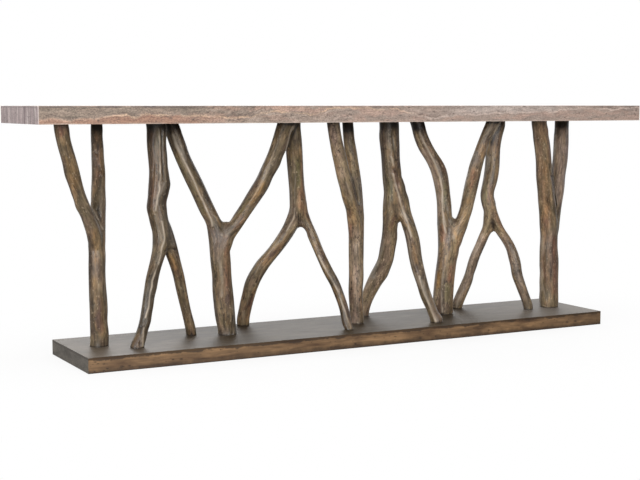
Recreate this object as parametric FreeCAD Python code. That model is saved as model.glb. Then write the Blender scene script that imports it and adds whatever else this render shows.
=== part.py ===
import FreeCAD, Part
import math
import os

# Long rustic console table: a stone-faced slab carried by nine forked limbs on a low plinth.
# X runs along the table, Y from front to back, Z up. The origin is on the floor under the middle.

# Overall sizes, in millimetres
TABLE_HEIGHT = 864.0
SLAB_LENGTH = 2424.0
SLAB_DEPTH = 442.0
SLAB_THICKNESS = 58.0
END_OVERHANG = 156.0
SIDE_OVERHANG = 24.0
PLINTH_HEIGHT = 52.0

# Slab: mitred stone skin on a hollow wooden frame, closed below by the carrier panel
SKIN_THICKNESS = 12.0
SLAB_EASE = 3.0
CARRIER_THICKNESS = 15.0
PANEL_GAP = 0.4
SLAB_RAIL_WIDTH = 32.0
SLAB_RIB_THICKNESS = 18.0
SLAB_RIB_PLACE_SHARES = (-0.825, -0.69, -0.38, 0.125, 0.415, 0.785)

# Plinth: veneered deck over mitred boards, cross ribs and a bottom panel
DECK_THICKNESS = 8.0
BOARD_THICKNESS = 18.0
BOTTOM_THICKNESS = 9.0
PLINTH_RIB_THICKNESS = 18.0
PLINTH_RIB_PLACE_SHARES = (-0.68, -0.38, -0.17, 0.11, 0.38, 0.68)

# Limbs: the radius of a plain stretch, and how far a section strays from round
LIMB_RADIUS = 29.0
OVAL_SHARE = 0.05
RIDGE_SHARE = 0.03
TWIST_TURNS = 0.35
SECTION_POINTS = 12

# Steel fixings at each limb end
STUD_RADIUS = 4.0
STUD_CLEARANCE = 0.3
STUD_SEAT = 25.0
STUD_TAIL = 4.0
WASHER_RADIUS = 10.0
WASHER_THICKNESS = 1.6
NUT_ACROSS_FLATS = 13.0
NUT_HEIGHT = 6.5

# Countersunk wood screws that hold the carrier and the bottom panel
SCREW_RADIUS = 2.5
SCREW_HEAD_RADIUS = 5.0
SCREW_CLEARANCE = 0.3
CARRIER_SCREW_LENGTH = 35.0
BOTTOM_SCREW_LENGTH = 30.0
CARRIER_SCREWS_PER_RAIL = 8
BOTTOM_SCREWS_PER_RIB = 3

CUT_OVERRUN = 5.0

# Each limb is rows of shares: rise of the clear height, place along the half length,
# place across the half depth, and girth of the limb radius. A leg has a stem and one branch,
# and the branch begins or ends inside the stem.
LEG_SHARES = {
    "leg_1": (
        (
            (0.00, -0.900, 0.00, 1.05),
            (0.06, -0.890, 0.00, 1.02),
            (0.15, -0.880, 0.00, 1.04),
            (0.30, -0.864, 0.02, 1.01),
            (0.45, -0.843, 0.05, 1.02),
            (0.55, -0.824, 0.12, 0.97),
            (0.70, -0.795, 0.26, 0.87),
            (0.85, -0.770, 0.39, 0.76),
            (0.93, -0.760, 0.45, 0.71),
            (1.00, -0.750, 0.50, 0.70),
        ),
        (
            (0.36, -0.852, 0.02, 0.60),
            (0.47, -0.846, 0.00, 0.86),
            (0.58, -0.859, -0.08, 0.82),
            (0.70, -0.881, -0.16, 0.80),
            (0.85, -0.895, -0.26, 0.81),
            (0.93, -0.901, -0.31, 0.83),
            (1.00, -0.902, -0.34, 0.83),
        ),
    ),
    "leg_2": (
        (
            (0.00, -0.799, -0.45, 0.76),
            (0.06, -0.777, -0.42, 0.72),
            (0.12, -0.756, -0.38, 0.69),
            (0.25, -0.718, -0.28, 0.72),
            (0.36, -0.678, -0.15, 0.80),
            (0.45, -0.645, -0.04, 0.98),
            (0.55, -0.636, 0.02, 1.12),
            (0.70, -0.619, 0.08, 1.19),
            (0.85, -0.605, 0.14, 1.11),
            (0.93, -0.598, 0.17, 1.15),
            (1.00, -0.593, 0.20, 1.18),
        ),
        (
            (0.00, -0.555, 0.30, 0.62),
            (0.06, -0.560, 0.27, 0.64),
            (0.12, -0.568, 0.24, 0.60),
            (0.25, -0.584, 0.15, 0.62),
            (0.36, -0.601, 0.06, 0.72),
            (0.46, -0.620, 0.00, 0.90),
            (0.60, -0.632, 0.03, 0.70),
        ),
    ),
    "leg_3": (
        (
            (0.00, -0.443, 0.07, 1.12),
            (0.06, -0.444, 0.07, 1.18),
            (0.15, -0.446, 0.06, 1.23),
            (0.30, -0.444, 0.06, 1.17),
            (0.40, -0.444, 0.06, 1.18),
            (0.50, -0.447, 0.10, 1.05),
            (0.60, -0.466, 0.16, 0.94),
            (0.72, -0.491, 0.24, 0.92),
            (0.86, -0.517, 0.34, 0.91),
            (0.93, -0.526, 0.38, 0.93),
            (1.00, -0.532, 0.43, 0.93),
        ),
        (
            (0.30, -0.444, 0.06, 0.70),
            (0.42, -0.432, 0.01, 0.92),
            (0.54, -0.381, -0.07, 0.82),
            (0.66, -0.326, -0.15, 0.89),
            (0.82, -0.268, -0.26, 0.92),
            (0.92, -0.245, -0.33, 0.96),
            (1.00, -0.229, -0.38, 1.04),
        ),
    ),
    "leg_4": (
        (
            (0.00, -0.318, 0.82, 0.76),
            (0.06, -0.315, 0.77, 0.80),
            (0.12, -0.306, 0.72, 0.81),
            (0.25, -0.279, 0.58, 0.87),
            (0.36, -0.226, 0.44, 0.84),
            (0.46, -0.181, 0.30, 0.92),
            (0.56, -0.156, 0.20, 1.00),
            (0.70, -0.159, 0.10, 1.00),
            (0.85, -0.173, 0.00, 1.04),
            (0.93, -0.178, -0.04, 1.05),
            (1.00, -0.182, -0.07, 1.05),
        ),
        (
            (0.00, -0.036, -0.52, 0.69),
            (0.06, -0.037, -0.45, 0.63),
            (0.12, -0.042, -0.38, 0.60),
            (0.25, -0.069, -0.20, 0.61),
            (0.38, -0.096, 0.00, 0.64),
            (0.48, -0.116, 0.14, 0.70),
            (0.56, -0.136, 0.19, 0.85),
            (0.68, -0.157, 0.12, 0.65),
        ),
    ),
    "leg_5": (
        (
            (0.00, 0.058, 0.03, 0.91),
            (0.06, 0.056, 0.03, 0.95),
            (0.20, 0.053, 0.03, 0.97),
            (0.30, 0.052, 0.03, 0.98),
            (0.40, 0.051, 0.03, 0.99),
            (0.50, 0.056, 0.08, 0.98),
            (0.60, 0.063, 0.16, 0.87),
            (0.72, 0.067, 0.27, 0.76),
            (0.86, 0.065, 0.40, 0.71),
            (0.93, 0.063, 0.45, 0.70),
            (1.00, 0.063, 0.50, 0.69),
        ),
        (
            (0.36, 0.052, 0.03, 0.65),
            (0.47, 0.040, -0.03, 0.87),
            (0.58, 0.019, -0.11, 0.88),
            (0.72, -0.017, -0.22, 0.92),
            (0.86, -0.054, -0.34, 0.83),
            (0.93, -0.070, -0.40, 0.82),
            (1.00, -0.082, -0.45, 0.84),
        ),
    ),
    "leg_6": (
        (
            (0.00, 0.160, 0.73, 0.78),
            (0.06, 0.162, 0.68, 0.80),
            (0.12, 0.171, 0.62, 0.89),
            (0.25, 0.203, 0.48, 1.03),
            (0.36, 0.212, 0.36, 1.01),
            (0.46, 0.209, 0.28, 1.02),
            (0.56, 0.208, 0.24, 1.15),
            (0.70, 0.206, 0.24, 1.26),
            (0.85, 0.195, 0.26, 1.28),
            (0.93, 0.190, 0.26, 1.29),
            (1.00, 0.186, 0.27, 1.32),
        ),
        (
            (0.00, 0.316, -0.60, 0.75),
            (0.06, 0.300, -0.55, 0.75),
            (0.12, 0.284, -0.50, 0.75),
            (0.25, 0.263, -0.33, 0.76),
            (0.38, 0.259, -0.12, 0.84),
            (0.48, 0.253, 0.05, 0.84),
            (0.58, 0.238, 0.17, 0.95),
            (0.72, 0.213, 0.22, 0.80),
        ),
    ),
    "leg_7": (
        (
            (0.00, 0.443, 0.20, 1.18),
            (0.06, 0.439, 0.20, 1.29),
            (0.15, 0.437, 0.20, 1.32),
            (0.30, 0.438, 0.20, 1.29),
            (0.42, 0.431, 0.22, 1.19),
            (0.52, 0.424, 0.26, 1.04),
            (0.62, 0.416, 0.31, 1.00),
            (0.74, 0.397, 0.37, 1.04),
            (0.86, 0.351, 0.43, 0.94),
            (0.93, 0.329, 0.46, 0.93),
            (1.00, 0.312, 0.48, 0.91),
        ),
        (
            (0.26, 0.441, 0.20, 0.80),
            (0.40, 0.460, 0.16, 1.05),
            (0.52, 0.479, 0.06, 0.91),
            (0.62, 0.482, -0.02, 0.89),
            (0.74, 0.480, -0.13, 0.85),
            (0.86, 0.486, -0.23, 0.77),
            (0.93, 0.497, -0.28, 0.81),
            (1.00, 0.508, -0.34, 0.85),
        ),
    ),
    "leg_8": (
        (
            (0.00, 0.791, -0.10, 0.62),
            (0.06, 0.775, -0.07, 0.65),
            (0.12, 0.753, -0.04, 0.68),
            (0.25, 0.720, 0.04, 0.73),
            (0.36, 0.684, 0.12, 0.65),
            (0.46, 0.631, 0.18, 0.78),
            (0.56, 0.595, 0.20, 0.91),
            (0.70, 0.591, 0.21, 0.96),
            (0.85, 0.592, 0.22, 1.00),
            (0.93, 0.592, 0.22, 1.07),
            (1.00, 0.592, 0.23, 1.12),
        ),
        (
            (0.00, 0.564, 0.70, 0.69),
            (0.06, 0.572, 0.65, 0.68),
            (0.12, 0.581, 0.60, 0.68),
            (0.25, 0.590, 0.47, 0.63),
            (0.38, 0.602, 0.32, 0.64),
            (0.48, 0.605, 0.23, 0.80),
            (0.62, 0.593, 0.20, 0.70),
        ),
    ),
    "leg_9": (
        (
            (0.00, 0.900, -0.02, 1.24),
            (0.06, 0.892, -0.02, 1.28),
            (0.15, 0.879, -0.02, 1.27),
            (0.30, 0.858, -0.02, 1.23),
            (0.42, 0.839, -0.02, 1.17),
            (0.52, 0.816, -0.07, 1.15),
            (0.65, 0.776, -0.17, 1.12),
            (0.82, 0.729, -0.30, 1.08),
            (0.92, 0.700, -0.36, 1.06),
            (1.00, 0.679, -0.41, 1.06),
        ),
        (
            (0.30, 0.857, 0.00, 0.80),
            (0.44, 0.861, 0.03, 0.98),
            (0.54, 0.869, 0.10, 0.96),
            (0.66, 0.878, 0.18, 1.00),
            (0.82, 0.887, 0.30, 1.05),
            (0.92, 0.889, 0.37, 1.02),
            (1.00, 0.890, 0.42, 1.00),
        ),
    ),
}

# Sizes that follow from the ones above
PLINTH_LENGTH = SLAB_LENGTH - 2 * END_OVERHANG
PLINTH_DEPTH = SLAB_DEPTH - 2 * SIDE_OVERHANG
SLAB_BOTTOM = TABLE_HEIGHT - SLAB_THICKNESS
CLEAR_HEIGHT = SLAB_BOTTOM - PLINTH_HEIGHT
CARRIER_TOP = SLAB_BOTTOM + CARRIER_THICKNESS
SLAB_HOLLOW_HEIGHT = SLAB_THICKNESS - SKIN_THICKNESS - CARRIER_THICKNESS
SLAB_INNER_LENGTH = SLAB_LENGTH - 2 * SKIN_THICKNESS
SLAB_INNER_DEPTH = SLAB_DEPTH - 2 * SKIN_THICKNESS
DECK_BOTTOM = PLINTH_HEIGHT - DECK_THICKNESS
PLINTH_HOLLOW_HEIGHT = DECK_BOTTOM - BOTTOM_THICKNESS
PLINTH_INNER_LENGTH = PLINTH_LENGTH - 2 * BOARD_THICKNESS
PLINTH_INNER_DEPTH = PLINTH_DEPTH - 2 * BOARD_THICKNESS
STUD_HOLE_RADIUS = STUD_RADIUS + STUD_CLEARANCE
SCREW_HOLE_RADIUS = SCREW_RADIUS + SCREW_CLEARANCE
UP = FreeCAD.Vector(0, 0, 1)


def centred_box(length, depth, height, x, y, z):
    """A box centred on x and y, standing on z."""
    corner = FreeCAD.Vector(x - length / 2, y - depth / 2, z)
    return Part.makeBox(length, depth, height, corner)


def cylinder(radius, height, x, y, z):
    return Part.makeCylinder(radius, height, FreeCAD.Vector(x, y, z), UP)


def rectangle(corners):
    """A closed wire through four corners given as (x, y, z)."""
    points = [FreeCAD.Vector(*corner) for corner in corners]
    return Part.makePolygon(points + points[:1])


def write(name, solids):
    """Writes one node's solids, after cuts that leave each of them whole."""
    shape = solids[0] if len(solids) == 1 else Part.makeCompound(solids)
    shape.exportStep("parts/" + name + ".step")


def cut_all(shape, tools):
    """The shape with every tool cut away, as a single solid."""
    if not tools:
        return shape
    return shape.cut(tools).Solids[0]


# Where the limbs stand

def half_length_at(rise):
    """Half of the length that a limb spreads over, from the plinth's to the slab's."""
    return (PLINTH_LENGTH + (SLAB_LENGTH - PLINTH_LENGTH) * rise) / 2


def half_depth_at(rise):
    return (PLINTH_DEPTH + (SLAB_DEPTH - PLINTH_DEPTH) * rise) / 2


def limb_point(row):
    rise, along, across, _ = row
    x = along * half_length_at(rise)
    y = across * half_depth_at(rise)
    return FreeCAD.Vector(x, y, PLINTH_HEIGHT + rise * CLEAR_HEIGHT)


def limb_ends(at_top):
    """The centre of every limb end that meets the deck, or the slab's underside if at_top."""
    wanted = 1.0 if at_top else 0.0
    rows = [row for limbs in LEG_SHARES.values() for limb in limbs for row in limb]
    return [limb_point(row) for row in rows if row[0] == wanted]


# Limbs

def leans(points):
    """How far the centreline moves in x and y per unit of height, at each point."""
    slopes = []
    last = len(points) - 1
    for index in range(len(points)):
        low = points[max(index - 1, 0)]
        high = points[min(index + 1, last)]
        run = high.z - low.z
        slopes.append(((high.x - low.x) / run, (high.y - low.y) / run))
    return slopes


def limb_section(centre, lean, radius, turn):
    """The level section of a leaning, slightly oval and ridged limb, as a closed smooth wire."""
    lean_x, lean_y = lean
    slope = math.hypot(lean_x, lean_y)
    stretch = math.sqrt(1 + slope * slope) - 1
    points = []
    for index in range(SECTION_POINTS):
        angle = 2 * math.pi * index / SECTION_POINTS
        swell = 1 + OVAL_SHARE * math.cos(2 * (angle - turn)) + RIDGE_SHARE * math.cos(3 * angle + turn)
        x = radius * swell * math.cos(angle)
        y = radius * swell * math.sin(angle)
        if slope > 0:
            pull = stretch * (x * lean_x + y * lean_y) / (slope * slope)
            x += pull * lean_x
            y += pull * lean_y
        points.append(FreeCAD.Vector(centre.x + x, centre.y + y, centre.z))
    curve = Part.BSplineCurve()
    curve.interpolate(Points=points, PeriodicFlag=True)
    return Part.Wire([curve.toShape()])


def limb(rows, first_turn):
    """One limb as a smooth loft through its level sections."""
    points = [limb_point(row) for row in rows]
    sections = []
    for row, point, lean in zip(rows, points, leans(points)):
        turn = first_turn + 2 * math.pi * TWIST_TURNS * row[0]
        sections.append(limb_section(point, lean, LIMB_RADIUS * row[3], turn))
    return Part.makeLoft(sections, True, False)


def limb_end_holes(rows):
    """The blind holes for the studs at the ends of one limb that meet the deck or the slab."""
    holes = []
    for row in rows:
        point = limb_point(row)
        if row[0] == 0.0:
            start = point.z - CUT_OVERRUN
            holes.append(cylinder(STUD_HOLE_RADIUS, STUD_SEAT + CUT_OVERRUN, point.x, point.y, start))
        if row[0] == 1.0:
            start = point.z - STUD_SEAT
            holes.append(cylinder(STUD_HOLE_RADIUS, STUD_SEAT + CUT_OVERRUN, point.x, point.y, start))
    return holes


def leg(limbs, first_turn):
    """A forked leg in one solid: its stem joined with its branch, drilled for the studs."""
    stem, branch = limbs
    body = limb(stem, first_turn).fuse(limb(branch, -first_turn)).Solids[0]
    return cut_all(body, limb_end_holes(stem) + limb_end_holes(branch))


def make_legs():
    for number, (name, limbs) in enumerate(LEG_SHARES.items()):
        write(name, [leg(limbs, float(number))])


# Slab

def eased_slab():
    """The slab's outer form, with its upper and upright edges rounded."""
    block = centred_box(SLAB_LENGTH, SLAB_DEPTH, SLAB_THICKNESS, 0, 0, SLAB_BOTTOM)
    eased = []
    for edge in block.Edges:
        heights = [vertex.Z for vertex in edge.Vertexes]
        if max(heights) > TABLE_HEIGHT - SLAB_EASE:
            eased.append(edge)
    return block.makeFillet(SLAB_EASE, eased)


def skin_prism(outer, inner):
    """The space between an outer and an inner face, whose sides are the mitres."""
    return Part.makeLoft([rectangle(outer), rectangle(inner)], True, True)


def long_edge_prism(side):
    """The mitred space of the front edge (side -1) or the back edge (side 1)."""
    half = SLAB_LENGTH / 2
    outer_y = side * SLAB_DEPTH / 2
    inner_y = side * SLAB_INNER_DEPTH / 2
    inner_half = SLAB_INNER_LENGTH / 2
    inner_top = TABLE_HEIGHT - SKIN_THICKNESS
    outer = (
        (-half, outer_y, SLAB_BOTTOM),
        (half, outer_y, SLAB_BOTTOM),
        (half, outer_y, TABLE_HEIGHT),
        (-half, outer_y, TABLE_HEIGHT),
    )
    inner = (
        (-inner_half, inner_y, SLAB_BOTTOM),
        (inner_half, inner_y, SLAB_BOTTOM),
        (inner_half, inner_y, inner_top),
        (-inner_half, inner_y, inner_top),
    )
    return skin_prism(outer, inner)


def short_edge_prism(side):
    """The mitred space of the left edge (side -1) or the right edge (side 1)."""
    half = SLAB_DEPTH / 2
    outer_x = side * SLAB_LENGTH / 2
    inner_x = side * SLAB_INNER_LENGTH / 2
    inner_half = SLAB_INNER_DEPTH / 2
    inner_top = TABLE_HEIGHT - SKIN_THICKNESS
    outer = (
        (outer_x, -half, SLAB_BOTTOM),
        (outer_x, half, SLAB_BOTTOM),
        (outer_x, half, TABLE_HEIGHT),
        (outer_x, -half, TABLE_HEIGHT),
    )
    inner = (
        (inner_x, -inner_half, SLAB_BOTTOM),
        (inner_x, inner_half, SLAB_BOTTOM),
        (inner_x, inner_half, inner_top),
        (inner_x, -inner_half, inner_top),
    )
    return skin_prism(outer, inner)


def top_prism():
    half = SLAB_LENGTH / 2
    half_depth = SLAB_DEPTH / 2
    inner_half = SLAB_INNER_LENGTH / 2
    inner_depth = SLAB_INNER_DEPTH / 2
    inner_top = TABLE_HEIGHT - SKIN_THICKNESS
    outer = (
        (-half, -half_depth, TABLE_HEIGHT),
        (half, -half_depth, TABLE_HEIGHT),
        (half, half_depth, TABLE_HEIGHT),
        (-half, half_depth, TABLE_HEIGHT),
    )
    inner = (
        (-inner_half, -inner_depth, inner_top),
        (inner_half, -inner_depth, inner_top),
        (inner_half, inner_depth, inner_top),
        (-inner_half, inner_depth, inner_top),
    )
    return skin_prism(outer, inner)


def make_slab_skin():
    form = eased_slab()
    prisms = {
        "top_panel": top_prism(),
        "top_front_edge": long_edge_prism(-1),
        "top_back_edge": long_edge_prism(1),
        "top_left_edge": short_edge_prism(-1),
        "top_right_edge": short_edge_prism(1),
    }
    for name, prism in prisms.items():
        write(name, [form.common(prism).Solids[0]])


def carrier_screw_places():
    """Screws in even steps along the middle of the front and back rails."""
    step = SLAB_INNER_LENGTH / CARRIER_SCREWS_PER_RAIL
    y = (SLAB_INNER_DEPTH - SLAB_RAIL_WIDTH) / 2
    places = []
    for side in (-1, 1):
        for index in range(CARRIER_SCREWS_PER_RAIL):
            places.append((step * (index + 0.5) - SLAB_INNER_LENGTH / 2, side * y))
    return places


def screw(x, y, z, length, radius, head_radius):
    """A countersunk screw pointing up, its head flush with z. A wider one is its hole."""
    cone_height = head_radius - radius
    place = FreeCAD.Vector(x, y, z)
    head = Part.makeCone(head_radius, radius, cone_height, place, UP)
    return head.fuse(cylinder(radius, length, x, y, z)).removeSplitter().Solids[0]


def screw_hole(x, y, z, length):
    head_radius = SCREW_HEAD_RADIUS + SCREW_CLEARANCE
    return screw(x, y, z, length, SCREW_HOLE_RADIUS, head_radius)


def carrier_screw_holes():
    return [screw_hole(x, y, SLAB_BOTTOM, CARRIER_SCREW_LENGTH) for x, y in carrier_screw_places()]


def make_slab_frame():
    """The wooden frame inside the slab: two long rails, two end rails and the cross ribs."""
    holes = carrier_screw_holes()
    rail_y = (SLAB_INNER_DEPTH - SLAB_RAIL_WIDTH) / 2
    for name, side in (("top_front_rail", -1), ("top_back_rail", 1)):
        rail = centred_box(
            SLAB_INNER_LENGTH, SLAB_RAIL_WIDTH, SLAB_HOLLOW_HEIGHT, 0, side * rail_y, CARRIER_TOP
        )
        write(name, [cut_all(rail, holes)])
    between = SLAB_INNER_DEPTH - 2 * SLAB_RAIL_WIDTH
    end_x = (SLAB_INNER_LENGTH - SLAB_RIB_THICKNESS) / 2
    ends = []
    for side in (-1, 1):
        ends.append(
            centred_box(SLAB_RIB_THICKNESS, between, SLAB_HOLLOW_HEIGHT, side * end_x, 0, CARRIER_TOP)
        )
    write("top_end_rails", ends)
    ribs = []
    for share in SLAB_RIB_PLACE_SHARES:
        x = share * SLAB_LENGTH / 2
        ribs.append(centred_box(SLAB_RIB_THICKNESS, between, SLAB_HOLLOW_HEIGHT, x, 0, CARRIER_TOP))
    write("top_ribs", ribs)


def make_carrier():
    """The panel under the slab that the limbs are bolted to."""
    length = SLAB_INNER_LENGTH - 2 * PANEL_GAP
    depth = SLAB_INNER_DEPTH - 2 * PANEL_GAP
    panel = centred_box(length, depth, CARRIER_THICKNESS, 0, 0, SLAB_BOTTOM)
    holes = carrier_screw_holes()
    for end in limb_ends(True):
        height = CARRIER_THICKNESS + 2 * CUT_OVERRUN
        holes.append(cylinder(STUD_HOLE_RADIUS, height, end.x, end.y, SLAB_BOTTOM - CUT_OVERRUN))
    write("top_carrier", [cut_all(panel, holes)])


def make_carrier_screws():
    screws = []
    for x, y in carrier_screw_places():
        screws.append(screw(x, y, SLAB_BOTTOM, CARRIER_SCREW_LENGTH, SCREW_RADIUS, SCREW_HEAD_RADIUS))
    write("top_screws", screws)


# Plinth

def mitred_board(outer_a, outer_b, inner_b, inner_a):
    """An upright board on the floor, from its outline seen from above."""
    outline = rectangle([corner + (0,) for corner in (outer_a, outer_b, inner_b, inner_a)])
    return Part.Face(outline).extrude(FreeCAD.Vector(0, 0, DECK_BOTTOM))


def make_plinth_boards():
    x = PLINTH_LENGTH / 2
    y = PLINTH_DEPTH / 2
    u = PLINTH_INNER_LENGTH / 2
    v = PLINTH_INNER_DEPTH / 2
    boards = {
        "base_front_board": mitred_board((-x, -y), (x, -y), (u, -v), (-u, -v)),
        "base_back_board": mitred_board((x, y), (-x, y), (-u, v), (u, v)),
        "base_left_board": mitred_board((-x, y), (-x, -y), (-u, -v), (-u, v)),
        "base_right_board": mitred_board((x, -y), (x, y), (u, v), (u, -v)),
    }
    for name, board in boards.items():
        write(name, [board])


def make_deck():
    """The veneered top of the plinth, drilled for the studs."""
    deck = centred_box(PLINTH_LENGTH, PLINTH_DEPTH, DECK_THICKNESS, 0, 0, DECK_BOTTOM)
    holes = []
    for end in limb_ends(False):
        height = DECK_THICKNESS + 2 * CUT_OVERRUN
        holes.append(cylinder(STUD_HOLE_RADIUS, height, end.x, end.y, DECK_BOTTOM - CUT_OVERRUN))
    write("base_deck", [cut_all(deck, holes)])


def bottom_screw_places():
    """Screws in even steps across each cross rib."""
    step = PLINTH_INNER_DEPTH / BOTTOM_SCREWS_PER_RIB
    places = []
    for share in PLINTH_RIB_PLACE_SHARES:
        for index in range(BOTTOM_SCREWS_PER_RIB):
            y = step * (index + 0.5) - PLINTH_INNER_DEPTH / 2
            places.append((share * PLINTH_LENGTH / 2, y))
    return places


def make_plinth_ribs():
    holes = [screw_hole(x, y, 0, BOTTOM_SCREW_LENGTH) for x, y in bottom_screw_places()]
    ribs = []
    for share in PLINTH_RIB_PLACE_SHARES:
        x = share * PLINTH_LENGTH / 2
        rib = centred_box(
            PLINTH_RIB_THICKNESS, PLINTH_INNER_DEPTH, PLINTH_HOLLOW_HEIGHT, x, 0, BOTTOM_THICKNESS
        )
        ribs.append(cut_all(rib, holes))
    write("base_ribs", ribs)


def make_bottom_panel():
    length = PLINTH_INNER_LENGTH - 2 * PANEL_GAP
    depth = PLINTH_INNER_DEPTH - 2 * PANEL_GAP
    panel = centred_box(length, depth, BOTTOM_THICKNESS, 0, 0, 0)
    holes = [screw_hole(x, y, 0, BOTTOM_SCREW_LENGTH) for x, y in bottom_screw_places()]
    write("base_bottom_panel", [cut_all(panel, holes)])


def make_bottom_screws():
    screws = []
    for x, y in bottom_screw_places():
        screws.append(screw(x, y, 0, BOTTOM_SCREW_LENGTH, SCREW_RADIUS, SCREW_HEAD_RADIUS))
    write("base_screws", screws)


# Fixings at the limb ends

def washer(x, y, z):
    disc = cylinder(WASHER_RADIUS, WASHER_THICKNESS, x, y, z)
    height = WASHER_THICKNESS + 2 * CUT_OVERRUN
    return disc.cut(cylinder(STUD_HOLE_RADIUS, height, x, y, z - CUT_OVERRUN)).Solids[0]


def nut(x, y, z):
    """A hexagon nut standing on z."""
    corner_radius = NUT_ACROSS_FLATS / math.sqrt(3)
    corners = []
    for index in range(6):
        angle = math.pi * index / 3
        corners.append((x + corner_radius * math.cos(angle), y + corner_radius * math.sin(angle), z))
    block = Part.Face(rectangle(corners)).extrude(FreeCAD.Vector(0, 0, NUT_HEIGHT))
    height = NUT_HEIGHT + 2 * CUT_OVERRUN
    return block.cut(cylinder(STUD_HOLE_RADIUS, height, x, y, z - CUT_OVERRUN)).Solids[0]


def make_leg_fixings():
    """Studs sunk in the limb ends, each with a washer and nut in the hollow beyond its panel."""
    deck_stud_length = STUD_SEAT + DECK_THICKNESS + WASHER_THICKNESS + NUT_HEIGHT + STUD_TAIL
    slab_stud_length = STUD_SEAT + CARRIER_THICKNESS + WASHER_THICKNESS + NUT_HEIGHT + STUD_TAIL
    foot_studs = []
    top_studs = []
    washers = []
    nuts = []
    for end in limb_ends(False):
        stud_low = PLINTH_HEIGHT + STUD_SEAT - deck_stud_length
        foot_studs.append(cylinder(STUD_RADIUS, deck_stud_length, end.x, end.y, stud_low))
        washers.append(washer(end.x, end.y, DECK_BOTTOM - WASHER_THICKNESS))
        nuts.append(nut(end.x, end.y, DECK_BOTTOM - WASHER_THICKNESS - NUT_HEIGHT))
    for end in limb_ends(True):
        top_studs.append(cylinder(STUD_RADIUS, slab_stud_length, end.x, end.y, SLAB_BOTTOM - STUD_SEAT))
        washers.append(washer(end.x, end.y, CARRIER_TOP))
        nuts.append(nut(end.x, end.y, CARRIER_TOP + WASHER_THICKNESS))
    write("foot_studs", foot_studs)
    write("top_studs", top_studs)
    write("leg_washers", washers)
    write("leg_nuts", nuts)


def main():
    os.makedirs("parts", exist_ok=True)
    make_legs()
    make_slab_skin()
    make_slab_frame()
    make_carrier()
    make_carrier_screws()
    make_plinth_boards()
    make_deck()
    make_plinth_ribs()
    make_bottom_panel()
    make_bottom_screws()
    make_leg_fixings()


main()
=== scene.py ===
import math

import bmesh
import bpy
import numpy as np
from mathutils import Matrix, Vector, noise


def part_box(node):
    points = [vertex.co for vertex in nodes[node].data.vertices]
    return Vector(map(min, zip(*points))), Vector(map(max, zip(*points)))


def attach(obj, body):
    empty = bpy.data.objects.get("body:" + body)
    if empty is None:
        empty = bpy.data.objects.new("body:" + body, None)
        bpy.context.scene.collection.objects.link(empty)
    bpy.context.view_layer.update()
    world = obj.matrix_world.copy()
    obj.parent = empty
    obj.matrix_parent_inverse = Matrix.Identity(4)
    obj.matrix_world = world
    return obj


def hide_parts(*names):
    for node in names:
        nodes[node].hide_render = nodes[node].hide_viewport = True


# Each leg's wood is sculpted from a copy of its solid. All other solids stay and get a material.

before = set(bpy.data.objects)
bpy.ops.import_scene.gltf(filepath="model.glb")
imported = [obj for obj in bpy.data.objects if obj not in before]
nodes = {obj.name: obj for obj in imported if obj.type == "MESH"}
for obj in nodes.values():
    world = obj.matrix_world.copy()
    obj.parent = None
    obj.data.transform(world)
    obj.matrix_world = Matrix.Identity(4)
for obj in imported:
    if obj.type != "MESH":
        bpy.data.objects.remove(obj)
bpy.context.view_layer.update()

# The camera that was fitted to the photograph, in metres, degrees, millimetres and pixels
CAMERA_PLACE = (-2.402, -4.313, 0.869)
CAMERA_PITCH = -5.79
CAMERA_YAW = -28.07
CAMERA_LENS = 75.28
SENSOR_WIDTH = 36.0
PHOTO_WIDTH = 640
PHOTO_HEIGHT = 480
FOCAL = PHOTO_WIDTH * CAMERA_LENS / SENSOR_WIDTH

# How the legs' solids are read: lengths in metres, and how many of the highest levels count as the top
WELD = 1e-6
ON_PLANE = 1e-5
STUD_REACH = 0.006
STUD_DEPTH = 0.03
SMALL_LOOP = 4 * STUD_REACH
LEVEL_STEP = 0.01
TOP_LEVELS = 2
END_REACH = 0.008

# The legs' even skin: lengths in metres, an angle in degrees, and rounds of smoothing and of filling hollows
VOXEL = 0.003
SHARP_ANGLE = 50
SKIN_ROUNDS = 2
FILL_TURNS = 4
FILL_ROUNDS = 10
CROTCH_REACH = 0.06
CROTCH_ROUNDS = 16
HOLLOW_ROUNDS = 6
FULL_HOLLOW = 0.0002
TRACK_ROUNDS = 16
LIMB_BLEND = 0.012
WEB_THICKNESS = 0.018
WEB_DIVISIONS = 3

# Noise on the limbs: its spacing across and along them in metres, and numbers that set it apart
SWELL = (0.05, 0.12, 0)
FACET = (0.030, 0.28, 31)
FLUTE = (0.012, 0.12, 57)
WAVER = (0.03, 0.035, 0)
FADE = (0.03, 0.035, 11)
LEG_OFFSET = 7.3
MARK_OFFSET = 3.0

# How far the swellings, long facets and narrow flutes of peeled wood stand out in metres, how a facet is
# shaped, and how much calmer all of it is in a crotch
SWELL_HEIGHT = 0.0024
FACET_HEIGHT = 0.0018
FLUTE_HEIGHT = 0.0005
FACET_SLOPE = 2.4
FACET_MIDDLE = 0.4
CREASE_CALM = 0.7

# The marks: height in metres, wavering in pixels, fading, and how fast they end where the wood turns away
RIDGE_HEIGHT = 0.0026
GROOVE_DEPTH = 0.0034
SHOULDER = 2.4
WAVER_PIXELS = 0.9
FADE_MIDDLE = 0.9
FADE_SWING = 0.7
FADE_LIMITS = (0.5, 1.15)
FACING_SHARE = 0.35
RIM_FACING = 5.0
BEND_STEPS = 5

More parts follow.
